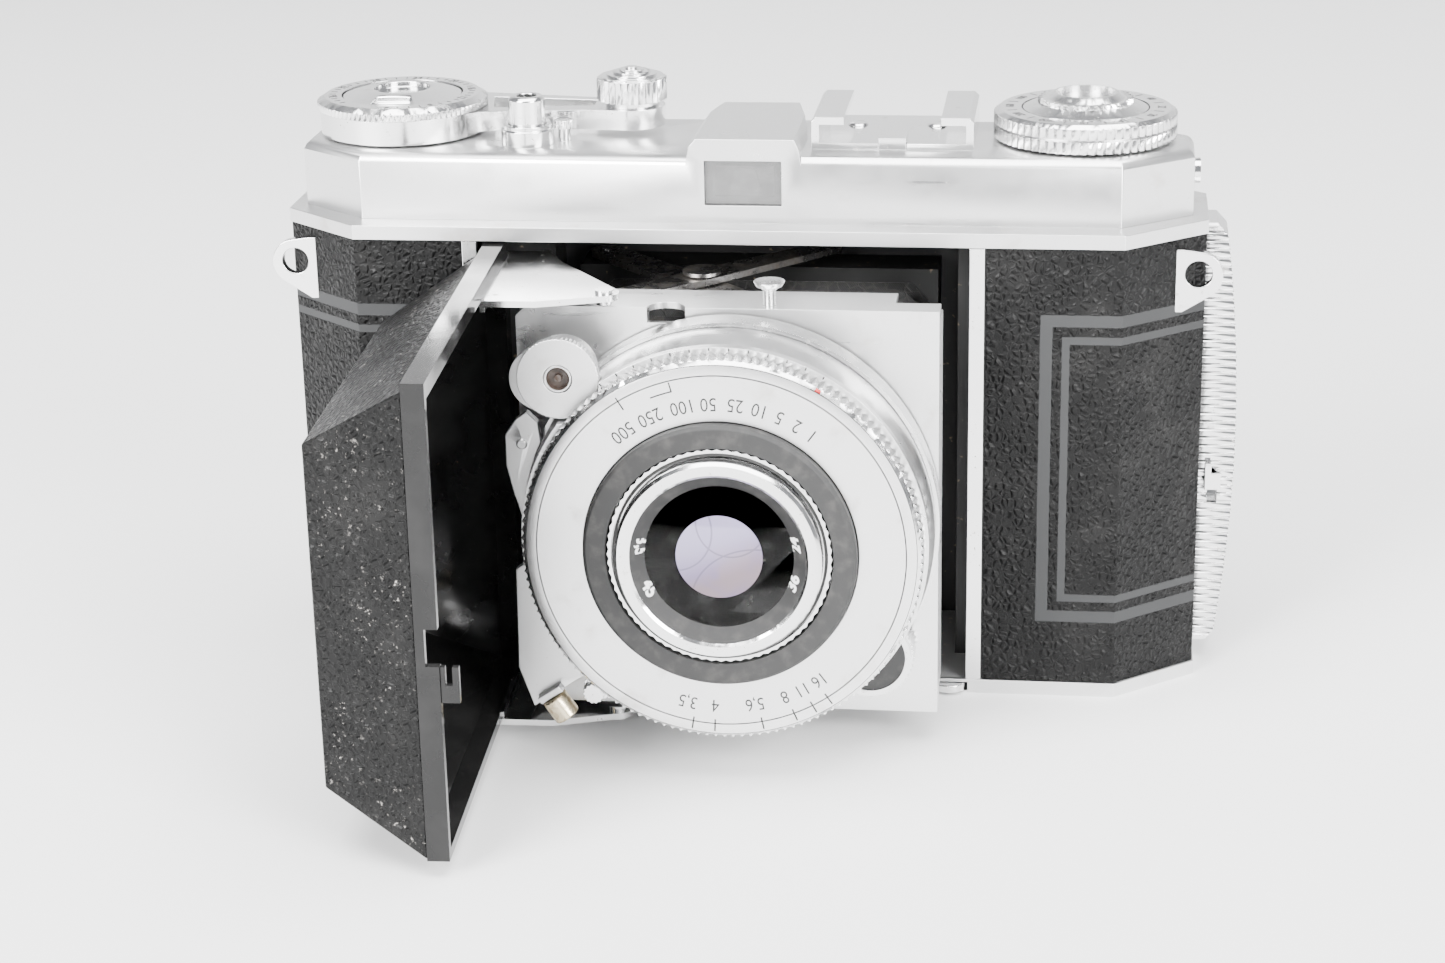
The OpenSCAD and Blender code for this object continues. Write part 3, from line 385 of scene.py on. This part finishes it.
LENS = middle("speed_ring")               # on the lens axis
FACE_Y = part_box("face_plate")[0].y        # front of the shutter's face
COUNTER = middle("counter_dial")
KNOB = middle("rewind_knob")


# ------------------------------------------------------------------ making pieces

def add(name, mesh, body, material, smooth=35):
    """Puts a finished mesh into the scene, on its body, with its material."""
    piece = bpy.data.objects.new(name, mesh)
    bpy.context.scene.collection.objects.link(piece)
    mesh.materials.clear()
    mesh.materials.append(material)
    mesh.polygons.foreach_set("use_smooth", [True] * len(mesh.polygons))
    if smooth:
        mesh.set_sharp_from_angle(angle=math.radians(smooth))
    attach(piece, body)
    return piece


def mesh_from(name, work):
    """Mesh of what has been built in work."""
    mesh = bpy.data.meshes.new(name)
    work.to_mesh(mesh)
    work.free()
    return mesh


def lathe(name, outline, spin_at, axis, steps=96):
    """Mesh of an outline of (radius, height) points turned about an axis through spin_at."""
    work = bmesh.new()
    turn = axis.to_track_quat("Z", "Y").to_matrix()
    rings = []
    for i in range(steps):
        a = 2 * math.pi * i / steps
        points = [Vector((r * MM * math.cos(a), r * MM * math.sin(a), h * MM)) for r, h in outline]
        rings.append([work.verts.new(spin_at + turn @ point) for point in points])
    for i in range(steps):
        here, there = rings[i], rings[(i + 1) % steps]
        for k in range(len(outline) - 1):
            work.faces.new((here[k], there[k], there[k + 1], here[k + 1]))
    bmesh.ops.remove_doubles(work, verts=work.verts, dist=1e-7)
    bmesh.ops.recalc_face_normals(work, faces=work.faces)
    return mesh_from(name, work)


def softened(node, body, material, width=0.12, segments=2):
    """Copy of a CAD node with its flats rejoined and its edges rounded, which stands for the node."""
    work = bmesh.new()
    work.from_mesh(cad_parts[node].data)
    bmesh.ops.remove_doubles(work, verts=work.verts, dist=WELD)
    bmesh.ops.dissolve_limit(work, angle_limit=math.radians(FLAT_ANGLE), verts=work.verts,
                             edges=work.edges)
    piece = add(node + "_soft", mesh_from(node + "_soft", work), body, material)
    bevel = piece.modifiers.new("rounded edges", "BEVEL")
    bevel.width = width * MM
    bevel.segments = segments
    bevel.limit_method = "ANGLE"
    bevel.angle_limit = math.radians(BEVEL_ANGLE)
    bevel.harden_normals = True
    bevel.use_clamp_overlap = True
    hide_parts(node)
    return piece


def stroke(work, centre, along, across, size):
    """Flat bar of ink: size is (length along, width across, thickness)."""
    away = along.cross(across)
    length, width, thick = (s * MM for s in size)
    turn = Matrix((along, across, away)).transposed().to_4x4()
    bmesh.ops.create_cube(work, size=1.0, matrix=Matrix.Translation(centre) @ turn
                          @ Matrix.Diagonal((length, width, thick, 1)))


def digits(name, text, centre, right, up, height, weight=0.0):
    """Mesh of a number lying flat: it reads towards right, its top is up, weight thickens it."""
    curve = bpy.data.curves.new(name, "FONT")
    curve.body = text
    curve.size = height * MM * TYPE_SIZE
    curve.align_x = "CENTER"
    curve.align_y = "CENTER"
    curve.extrude = INK_RAISED * MM
    curve.resolution_u = 3
    curve.offset = weight * MM
    holder = bpy.data.objects.new(name, curve)
    bpy.context.scene.collection.objects.link(holder)
    bpy.context.view_layer.update()
    graph = bpy.context.evaluated_depsgraph_get()
    mesh = bpy.data.meshes.new_from_object(holder.evaluated_get(graph))
    bpy.data.objects.remove(holder)
    turn = Matrix((right * NARROWED, up, right.cross(up))).transposed().to_4x4()
    mesh.transform(Matrix.Translation(centre) @ turn)
    return mesh


def joined(name, meshes):
    """One mesh made of several, which are used up."""
    work = bmesh.new()
    for mesh in meshes:
        work.from_mesh(mesh)
        bpy.data.meshes.remove(mesh)
    return mesh_from(name, work)


def dial_marks(name, centre, normal, first, marks, radius, height, tops_inward=True):
    """Numbers round a dial, from (angle in degrees, text) pairs; first is the 0 degree way."""
    second = normal.cross(first)
    meshes = []
    for angle, text in marks:
        a = math.radians(angle)
        outward = first * math.cos(a) + second * math.sin(a)
        up = -outward if tops_inward else outward
        right = up.cross(normal)
        meshes.append(digits(name, text, centre + outward * radius * MM, right, up, height))
    return joined(name, meshes)


def dial_ticks(name, centre, normal, first, angles, inner, outer, width=0.16, thick=0.024):
    """Short strokes of ink that point outwards round a dial, between two radii."""
    second = normal.cross(first)
    work = bmesh.new()
    for angle in angles:
        a = math.radians(angle)
        outward = first * math.cos(a) + second * math.sin(a)
        spot = centre + outward * (inner + outer) / 2 * MM
        stroke(work, spot, outward, normal.cross(outward), (outer - inner, width, thick))
    return mesh_from(name, work)


# ------------------------------------------------------------------ sub-assemblies

FORWARD = Vector((0, -1, 0))
RIGHT = Vector((1, 0, 0))
UP = Vector((0, 0, 1))


def finish_casing():
    """Casing with its trim, covering, shoe, lugs and the front door's button."""
    body = "camera_body"
    softened("body_casting", body, CASTING, 0.16)
    softened("top_housing", body, FROSTED, 0.30, 3)
    softened("trim_strips", body, BRIGHT, 0.12)
    softened("shoe_rails", body, BRIGHT, 0.14)
    softened("shoe_spring", body, BRIGHT, 0.10)
    softened("strap_lugs", body, BRIGHT, 0.22, 3)
    softened("release_collar", body, BRIGHT, 0.12)
    softened("tripod_socket", body, BRIGHT, 0.15)
    softened("finder_eyepiece", body, MATT, 0.15)
    softened("counter_cap", body, BRIGHT, 0.12)
    for node, material in {"film_rails": BRIGHT, "steel_screws": BRIGHT, "front_hinge_pin": DARK_STEEL,
                           "back_hinge_pin": BRIGHT, "finder_front_glass": PANE}.items():
        dress(node, material)
    for node, side in (("leather_left", -1), ("leather_right", 1)):
        hide = grained_hide(node + "_hide", frame_box=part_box(node), side=side)
        softened(node, body, hide, 0.12, 2)
    softened("door_button", "door_release", BRIGHT, 0.12)


def dress(node, material):
    """Gives a CAD node its finished material."""
    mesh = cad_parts[node].data
    mesh.materials.clear()
    mesh.materials.append(material)


def finder_window():
    """Dark frame inside the viewfinder window, with the bright block behind its glass."""
    low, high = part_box("finder_front_glass")
    centre = (low + high) / 2
    work = bmesh.new()
    half = Vector((high.x - low.x, 0, high.z - low.z)) / 2
    for side in (-1, 1):
        stroke(work, centre + Vector((side * (half.x - 0.55 * MM), 0.75 * MM, 0)), UP, RIGHT,
               (half.z * 2 / MM - 0.1, 1.0, 0.4))
        stroke(work, centre + Vector((0, 0.75 * MM, side * (half.z - 0.45 * MM))), RIGHT, UP,
               (half.x * 2 / MM - 0.1, 0.8, 0.4))
    add("finder_mask", mesh_from("finder_mask", work), "camera_body", MATT)
    work = bmesh.new()
    wide, tall = half.x * 0.42, half.z * 0.62
    points = [(-wide, -tall), (wide, -tall), (wide * 0.62, tall * 0.7), (-wide * 0.62, tall * 0.7)]
    corners = [centre + Vector((x, 1.9 * MM, z)) for x, z in points]
    back = [c + Vector((0, 1.2 * MM, 0)) for c in corners]
    verts = [work.verts.new(c) for c in corners + back]
    for face in ((0, 1, 2, 3), (7, 6, 5, 4), (0, 4, 5, 1), (1, 5, 6, 2), (2, 6, 7, 3), (3, 7, 4, 0)):
        work.faces.new([verts[i] for i in face])
    bmesh.ops.recalc_face_normals(work, faces=work.faces)
    bmesh.ops.bevel(work, geom=work.edges[:], offset=0.25 * MM, segments=2, affect="EDGES")
    add("finder_prism", mesh_from("finder_prism", work), "camera_body", PEARL)


def finish_back():
    """Hinged back with its covering, grip, pressure plate and latch."""
    body = "back_door"
    softened("back_door", body, ENAMEL, 0.12)
    hide = grained_hide("back_hide", frame_box=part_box("back_leather"), side=1)
    softened("back_leather", body, hide, 0.10)
    softened("back_grip", body, BRIGHT, 0.06, 1)
    dress("pressure_plate", MATT)
    softened("back_latch", "back_latch", BRIGHT, 0.12)


def finish_front_door():
    """Folded front door with its covering, arms and catch."""
    body = "front_door"
    softened("front_door", body, DOOR_ENAMEL, 0.20, 3)
    softened("door_leather", body, grained_hide("door_hide", wear=1.0), 0.45, 3)
    softened("door_arms", body, BRIGHT, 0.12)
    softened("door_catch", body, ENAMEL, 0.08)


def finish_standard():
    """Lens board's box, its buttons and the crossed arms."""
    softened("standard_box", "lens_standard", FROSTED, 0.22, 3)
    for end in ("top", "bottom"):
        softened(f"fold_button_{end}", f"fold_button_{end}", BRIGHT, 0.12)
        for arm in ("a", "b"):
            node = f"scissor_{end}_{arm}"
            softened(node, node, DARK_STEEL, 0.10)


def pleated_bellows():
    """Bellows: a rectangular tube of sharp folds with cut corners."""
    low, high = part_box("bellows")
    folds = 11
    front_x, front_z, spread = 17.7, 16.2, 4.6    # half width and half height in front, and their growth
    fold_depth, corner_cut = 2.0, 2.2
    centre_x = (low.x + high.x) / 2
    centre_z = (low.z + high.z) / 2
    work = bmesh.new()
    rings = []
    for i in range(2 * folds + 1):
        t = i / (2 * folds)
        y = low.y + (high.y - low.y) * t
        outer_x = (front_x + spread * t) * MM
        outer_z = (front_z + spread * t) * MM
        dip = fold_depth * MM if i % 2 else 0
        half_x, half_z, cut = outer_x - dip, outer_z - dip, corner_cut * MM + dip * 0.7
        outline = [(half_x, -half_z + cut), (half_x, half_z - cut),
                   (half_x - cut, half_z), (-half_x + cut, half_z),
                   (-half_x, half_z - cut), (-half_x, -half_z + cut),
                   (-half_x + cut, -half_z), (half_x - cut, -half_z)]
        rings.append([work.verts.new((centre_x + x, y, centre_z + z)) for x, z in outline])
    for near, far in zip(rings, rings[1:]):
        for k in range(8):
            work.faces.new((near[k], near[(k + 1) % 8], far[(k + 1) % 8], far[k]))
    bmesh.ops.recalc_face_normals(work, faces=work.faces)
    piece = add("pleated_bellows", mesh_from("pleated_bellows", work), "camera_body", CLOTH, 20)
    thick = piece.modifiers.new("cloth thickness", "SOLIDIFY")
    thick.thickness = 0.25 * MM
    thick.offset = -1
    bevel = piece.modifiers.new("soft folds", "BEVEL")
    bevel.width = 0.18 * MM
    bevel.segments = 2
    apply_modifiers(piece)
    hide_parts("bellows")
    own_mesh(piece)


def apply_modifiers(piece):
    """Leaves the piece with the mesh that its modifiers make."""
    bpy.context.view_layer.update()
    graph = bpy.context.evaluated_depsgraph_get()
    done = bpy.data.meshes.new_from_object(piece.evaluated_get(graph))
    piece.modifiers.clear()
    piece.data = done


def finish_shutter():
    """Shutter with its plates, rings, bezel and levers."""
    body = "shutter"
    softened("shutter_case", body, FROSTED, 0.15)
    softened("face_plate", body, TURNED, 0.10)
    softened("side_plates", body, FROSTED, 0.18)
    softened("timer_post", body, BRASS, 0.25, 3)
    softened("lens_bezel", body, MATT, 0.12)
    softened("name_ring", body, BRIGHT, 0.08)
    softened("focus_ring", "focus_ring", BRIGHT_RING, 0.14)
    softened("focus_inlay", "focus_ring", MATT, 0.08)
    softened("speed_ring", "speed_ring", BRIGHT_RING, 0.06, 1)
    softened("sync_disc", "sync_disc", FROSTED, 0.08)
    softened("aperture_lever", "aperture_lever", BRIGHT, 0.08)
    for node, material in {"rear_lens_cell": MATT, "shutter_blades": DARK_STEEL}.items():
        dress(node, material)


def shutter_scales():
    """Speeds, stops and index marks on the shutter's face: numbers only."""
    body = "shutter"
    centre = Vector((LENS.x, FACE_Y - 0.008 * MM, LENS.z))
    speeds = [(127, "500"), (115.3, "250"), (102.7, "100"), (93.2, "50"), (83.5, "25"),
              (74.5, "10"), (67, "5"), (60, "2"), (53.5, "1")]
    stops = [(257.4, "3,5"), (267.2, "4"), (281.3, "5,6"), (292.3, "8"), (299.1, "11"), (306.3, "16")]
    speed_radius, speed_height = 19.15, 1.8
    stop_radius, stop_height = 20.2, 1.75
    numbers = [dial_marks("speed_numbers", centre, FORWARD, RIGHT, speeds, speed_radius,
                          speed_height),
               dial_marks("stop_numbers", centre, FORWARD, RIGHT, stops, stop_radius, stop_height, False)]
    add("scale_numbers", joined("scale_numbers", numbers), body, INK, 0)
    stop_ticks = dial_ticks("stop_ticks", centre, FORWARD, RIGHT,
                            [260.4, 267.3, 282.3, 292.9, 299.4, 304.9], 22.1, 23.7, 0.2)
    speed_tick = dial_ticks("speed_tick", centre, FORWARD, RIGHT, [122], 21.4, 23.2, 0.18)
    bracket = dial_ticks("bracket", centre, FORWARD, RIGHT, [105], 21.3, 22.5, 0.18)
    run = dial_ticks("bracket_run", centre, FORWARD, RIGHT, [105 + 0.5 * i for i in range(15)],
                     21.22, 21.4, 0.2)
    add("scale_ticks", joined("scale_ticks", [stop_ticks, speed_tick, bracket, run]), body, INK,
        0)
    lip = [(22.6, 0), (23.9, 0), (23.95, -0.02), (23.95, -0.04), (22.6, -0.04), (22.6, 0)]
    face = Vector((LENS.x, FACE_Y, LENS.z))
    add("face_lip", lathe("face_lip", lip, face, FORWARD), body, TURNED)
    edge = [(23.95, -0.045), (24.03, -0.045), (24.03, -0.11), (23.95, -0.11), (23.95, -0.045)]
    add("face_seam", lathe("face_seam", edge, face, FORWARD), body, MATT)
    rim = Vector((LENS.x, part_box("speed_ring")[0].y + 0.12 * MM, LENS.z))
    index = dial_ticks("speed_index", rim + Vector((0, 0.1 * MM, 0)), FORWARD, RIGHT, [60],
                       24.0, 24.4, 0.7, 0.25)
    add("speed_index", index, "speed_ring", RED, 0)
    side = Vector((LENS.x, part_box("shutter_case")[0].y, LENS.z))
    case_ticks = dial_ticks("case_ticks", side + Vector((0, 1.87 * MM, 0)), FORWARD, RIGHT,
                            [60 + 5.5 * i for i in range(13)], 24.75, 25.15, 0.16, 0.05)
    add("case_ticks", case_ticks, body, INK, 0)


def lens_front():
    """Black sloping ring with its numbers, a dark ring of painted shade in the groove behind it, and the
    glass within.
    """
    at = Vector((LENS.x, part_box("name_ring")[0].y, LENS.z))
    slope = [(7.82, -2.50), (8.55, -2.48), (9.6, -1.45), (10.75, -0.30), (10.8, -0.38),
             (9.6, -1.55), (8.6, -2.56), (7.82, -2.58), (7.82, -2.50)]
    add("number_ring", lathe("number_ring", slope, at, FORWARD), "shutter", MATT)
    number_radius, number_depth, number_height, number_weight = 9.55, -1.46, 1.8, 0.09
    numbers = []
    for angle, text in ((172, "3,5"), (206, "45"), (12, "24"), (-18, "36")):
        a = math.radians(angle)
        outward = RIGHT * math.cos(a) + UP * math.sin(a)
        normal = (FORWARD - outward).normalized()
        up = -(outward - normal * outward.dot(normal)).normalized()
        spot = at + outward * number_radius * MM + FORWARD * (number_depth * MM)
        numbers.append(digits("lens_numbers", text, spot, up.cross(normal), up, number_height,
                              number_weight))
    add("lens_numbers", joined("lens_numbers", numbers), "shutter", WHITE, 0)
    glass_radius, curve, curve_centre, glass_back = 7.68, 24, -25.3, -4.5
    dome = [(r, math.sqrt(curve ** 2 - r * r) + curve_centre)
            for r in [glass_radius * i / 14 for i in range(15)]]
    outline = dome + [(glass_radius, glass_back), (0, glass_back)]
    glass = add("front_glass", lathe("front_glass", outline, at, FORWARD), "shutter", GLASS)
    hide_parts("front_lens")
    # painted shade: a matt black ring laid in the groove to darken it
    groove = [(12.85, -2.6), (12.85, -2.2), (13.2, -2.2), (13.2, -2.6), (12.85, -2.6)]
    add("groove_shade", lathe("groove_shade", groove, at, FORWARD), "shutter", MATT)


def flash_contact():
    """Dark insert with its pin at the bottom of the flash socket."""
    at = Vector((middle("sync_disc").x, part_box("sync_disc")[0].y, middle("sync_disc").z))
    well = [(1.34, -0.05), (1.34, -0.9), (0.5, -0.9), (0.45, -0.35), (0.001, -0.3)]
    add("flash_contact", lathe("flash_contact", well, at, FORWARD, 48), "shutter", SOCKET)


def finish_controls():
    """Release, lever, knobs and dials on the top, and the film's spool and sprocket."""
    softened("release_button", "shutter_release", BRIGHT, 0.16)
    softened("film_lock_button", "film_lock", BRIGHT, 0.08)
    softened("wind_lever", "wind_lever", BRIGHT, 0.22, 3)
    softened("lever_knob", "wind_lever", BRIGHT, 0.08)
    softened("counter_dial", "frame_counter", BRIGHT_RING, 0.06, 1)
    softened("rewind_knob", "rewind_knob", BRIGHT_RING, 0.08, 1)
    softened("reminder_dial", "film_reminder", BRIGHT_RING, 0.06, 1)
    dress("rewind_bush", BRASS)
    dress("rewind_fork", BRIGHT)
    softened("take_up_spool", "take_up_spool", MATT, 0.1)
    dress("sprocket_shaft", BRIGHT)


def dial_numbers():
    """Frame numbers on the counter, and film speeds with their ticks round the rewind knob."""
    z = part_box("counter_dial")[1].z
    centre = Vector((COUNTER.x, COUNTER.y, z + 0.01 * MM))
    frames = [(-90 + 36 * i, str(4 * (i + 1))) for i in range(9)]
    add("frame_numbers", dial_marks("frame_numbers", centre, UP, RIGHT, frames, 9.2, 1.2, False),
        "frame_counter", INK, 0)
    dots = [-90 + 9 * i for i in range(36) if i % 4]
    add("frame_ticks", dial_ticks("frame_ticks", centre, UP, RIGHT, dots, 8.9, 9.7, 0.14),
        "frame_counter", INK, 0)
    knob_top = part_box("rewind_knob")[1].z
    centre = Vector((KNOB.x, KNOB.y, knob_top + 0.01 * MM))
    film_speeds = ["10", "16", "20", "32", "40", "50", "64", "80", "100", "160", "200", "400"]
    speeds = [(-90 + 30 * i, text) for i, text in enumerate(film_speeds)]
    add("film_speeds", dial_marks("film_speeds", centre, UP, RIGHT, speeds, 9.75, 1.15, False),
        "rewind_knob", INK, 0)
    ticks = dial_ticks("speed_ticks", centre, UP, RIGHT, [-105 + 30 * i for i in range(12)], 9.1, 10.4,
                       0.12)
    add("speed_ticks", ticks, "rewind_knob", INK, 0)


# ------------------------------------------------------------------ stage

def floor_and_backdrop():
    """Pale floor that curves up into a backdrop."""
    f = Finish("pale_floor", specular_ior_level=0.25)
    cloud = f.noise(260, 3)
    marks = f.noise(1.6, 4, 0.7).rise(0.70, 0.78)
    f.drive("Base Color", f.mix(cloud * 0.5 + marks * 0.25, grey(0.80), grey(0.68)))
    f.drive("Roughness", 0.42 + cloud * 0.15)
    f.bump(f.noise(1.2, 3), 0.01)
    work = bmesh.new()
    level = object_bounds()[0].z
    near, bend, curve, tall, half_width = -1.6, 0.95, 0.6, 1.8, 2.2    # in metres
    sweep = [(bend + curve * math.sin(a), level + curve - curve * math.cos(a))
             for a in [math.pi / 2 * i / 12 for i in range(13)]]
    profile = [(near, level)] + sweep + [(1.55, level + tall)]
    rows = [[work.verts.new((x, y, z)) for y, z in profile] for x in (-half_width, half_width)]
    for k in range(len(profile) - 1):
        work.faces.new((rows[0][k], rows[1][k], rows[1][k + 1], rows[0][k + 1]))
    bmesh.ops.recalc_face_normals(work, faces=work.faces)
    mesh = mesh_from("floor", work)
    mesh.materials.append(f.material)
    mesh.polygons.foreach_set("use_smooth", [True] * len(mesh.polygons))
    floor = bpy.data.objects.new("floor", mesh)
    bpy.context.scene.collection.objects.link(floor)


def softbox(name, place, target, size, power):
    """Square-cornered area light that shines from its place towards its target."""
    lamp = bpy.data.lights.new(name, "AREA")
    lamp.shape = "RECTANGLE"
    lamp.size, lamp.size_y = size
    lamp.energy = power
    holder = bpy.data.objects.new(name, lamp)
    holder.location = place
    holder.rotation_euler = (Vector(target) - Vector(place)).to_track_quat("-Z", "Y").to_euler()
    bpy.context.scene.collection.objects.link(holder)


def studio_light():
    """Even pale surroundings with three soft lights."""
    world = bpy.data.worlds.new("studio")
    bpy.context.scene.world = world
    world.use_nodes = True
    backdrop = world.node_tree.nodes["Background"]
    backdrop.inputs["Color"].default_value = (0.93, 0.95, 1.0, 1.0)
    backdrop.inputs["Strength"].default_value = 0.38
    softbox("overhead", (0.05, -0.15, 0.95), (0, 0, 0), (1.1, 0.8), 34)
    softbox("front_left", (-0.65, -0.85, 0.55), (0, 0, 0.03), (0.6, 0.6), 44)
    softbox("front_right", (0.75, -0.75, 0.45), (0, 0, 0.03), (0.5, 0.6), 30)


def studio_camera():
    """Camera at the chosen view: angles about the body's front, a long lens and a slight roll."""
    azimuth, elevation, roll = (math.radians(a) for a in (7.535, 19.681, -1.161))
    distance = 0.38935
    focal, sensor = 73.59, 36.0
    target = Vector((-1.931 * MM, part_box("body_casting")[0].y, 29.152 * MM))
    back = Vector((math.sin(azimuth) * math.cos(elevation), -math.cos(azimuth) * math.cos(elevation),
                   math.sin(elevation)))
    level = (-back).cross(UP).normalized()
    rising = level.cross(-back)
    right = level * math.cos(roll) + rising * math.sin(roll)
    up = rising * math.cos(roll) - level * math.sin(roll)
    lens = bpy.data.cameras.new("camera")
    lens.lens = focal
    lens.sensor_width = sensor
    lens.clip_start = 0.01
    holder = bpy.data.objects.new("camera", lens)
    holder.matrix_world = Matrix.Translation(target + back * distance) \
        @ Matrix((right, up, back)).transposed().to_4x4()
    bpy.context.scene.collection.objects.link(holder)
    bpy.context.scene.camera = holder


FROSTED = frosted_plate()
BRIGHT = bright_plate()
BRIGHT_RING = bright_plate("ring_plate", 0.82, 0.2)
PEARL = bright_plate("pearl_plate", 0.9, 0.35)
TURNED = turned_plate()
CASTING = casting()
ENAMEL = enamel()
DOOR_ENAMEL = enamel("door_enamel", 0.10, 1.0)
MATT = matt_black()
CLOTH = bellows_cloth()
DARK_STEEL = darkened_steel()
BRASS = worn_brass()
GLASS = coated_glass()
PANE = finder_pane()
INK = paint("black_ink", grey(0.012))
WHITE = paint("white_ink", grey(0.82))
RED = paint("red_ink", (0.55, 0.03, 0.03))
SOCKET = paint("dull_contact", (0.055, 0.038, 0.03), 0.35)

studio_camera()
studio_light()
floor_and_backdrop()
finish_casing()
finder_window()
finish_back()
finish_front_door()
finish_standard()
pleated_bellows()
finish_shutter()
shutter_scales()
lens_front()
flash_contact()
finish_controls()
dial_numbers()
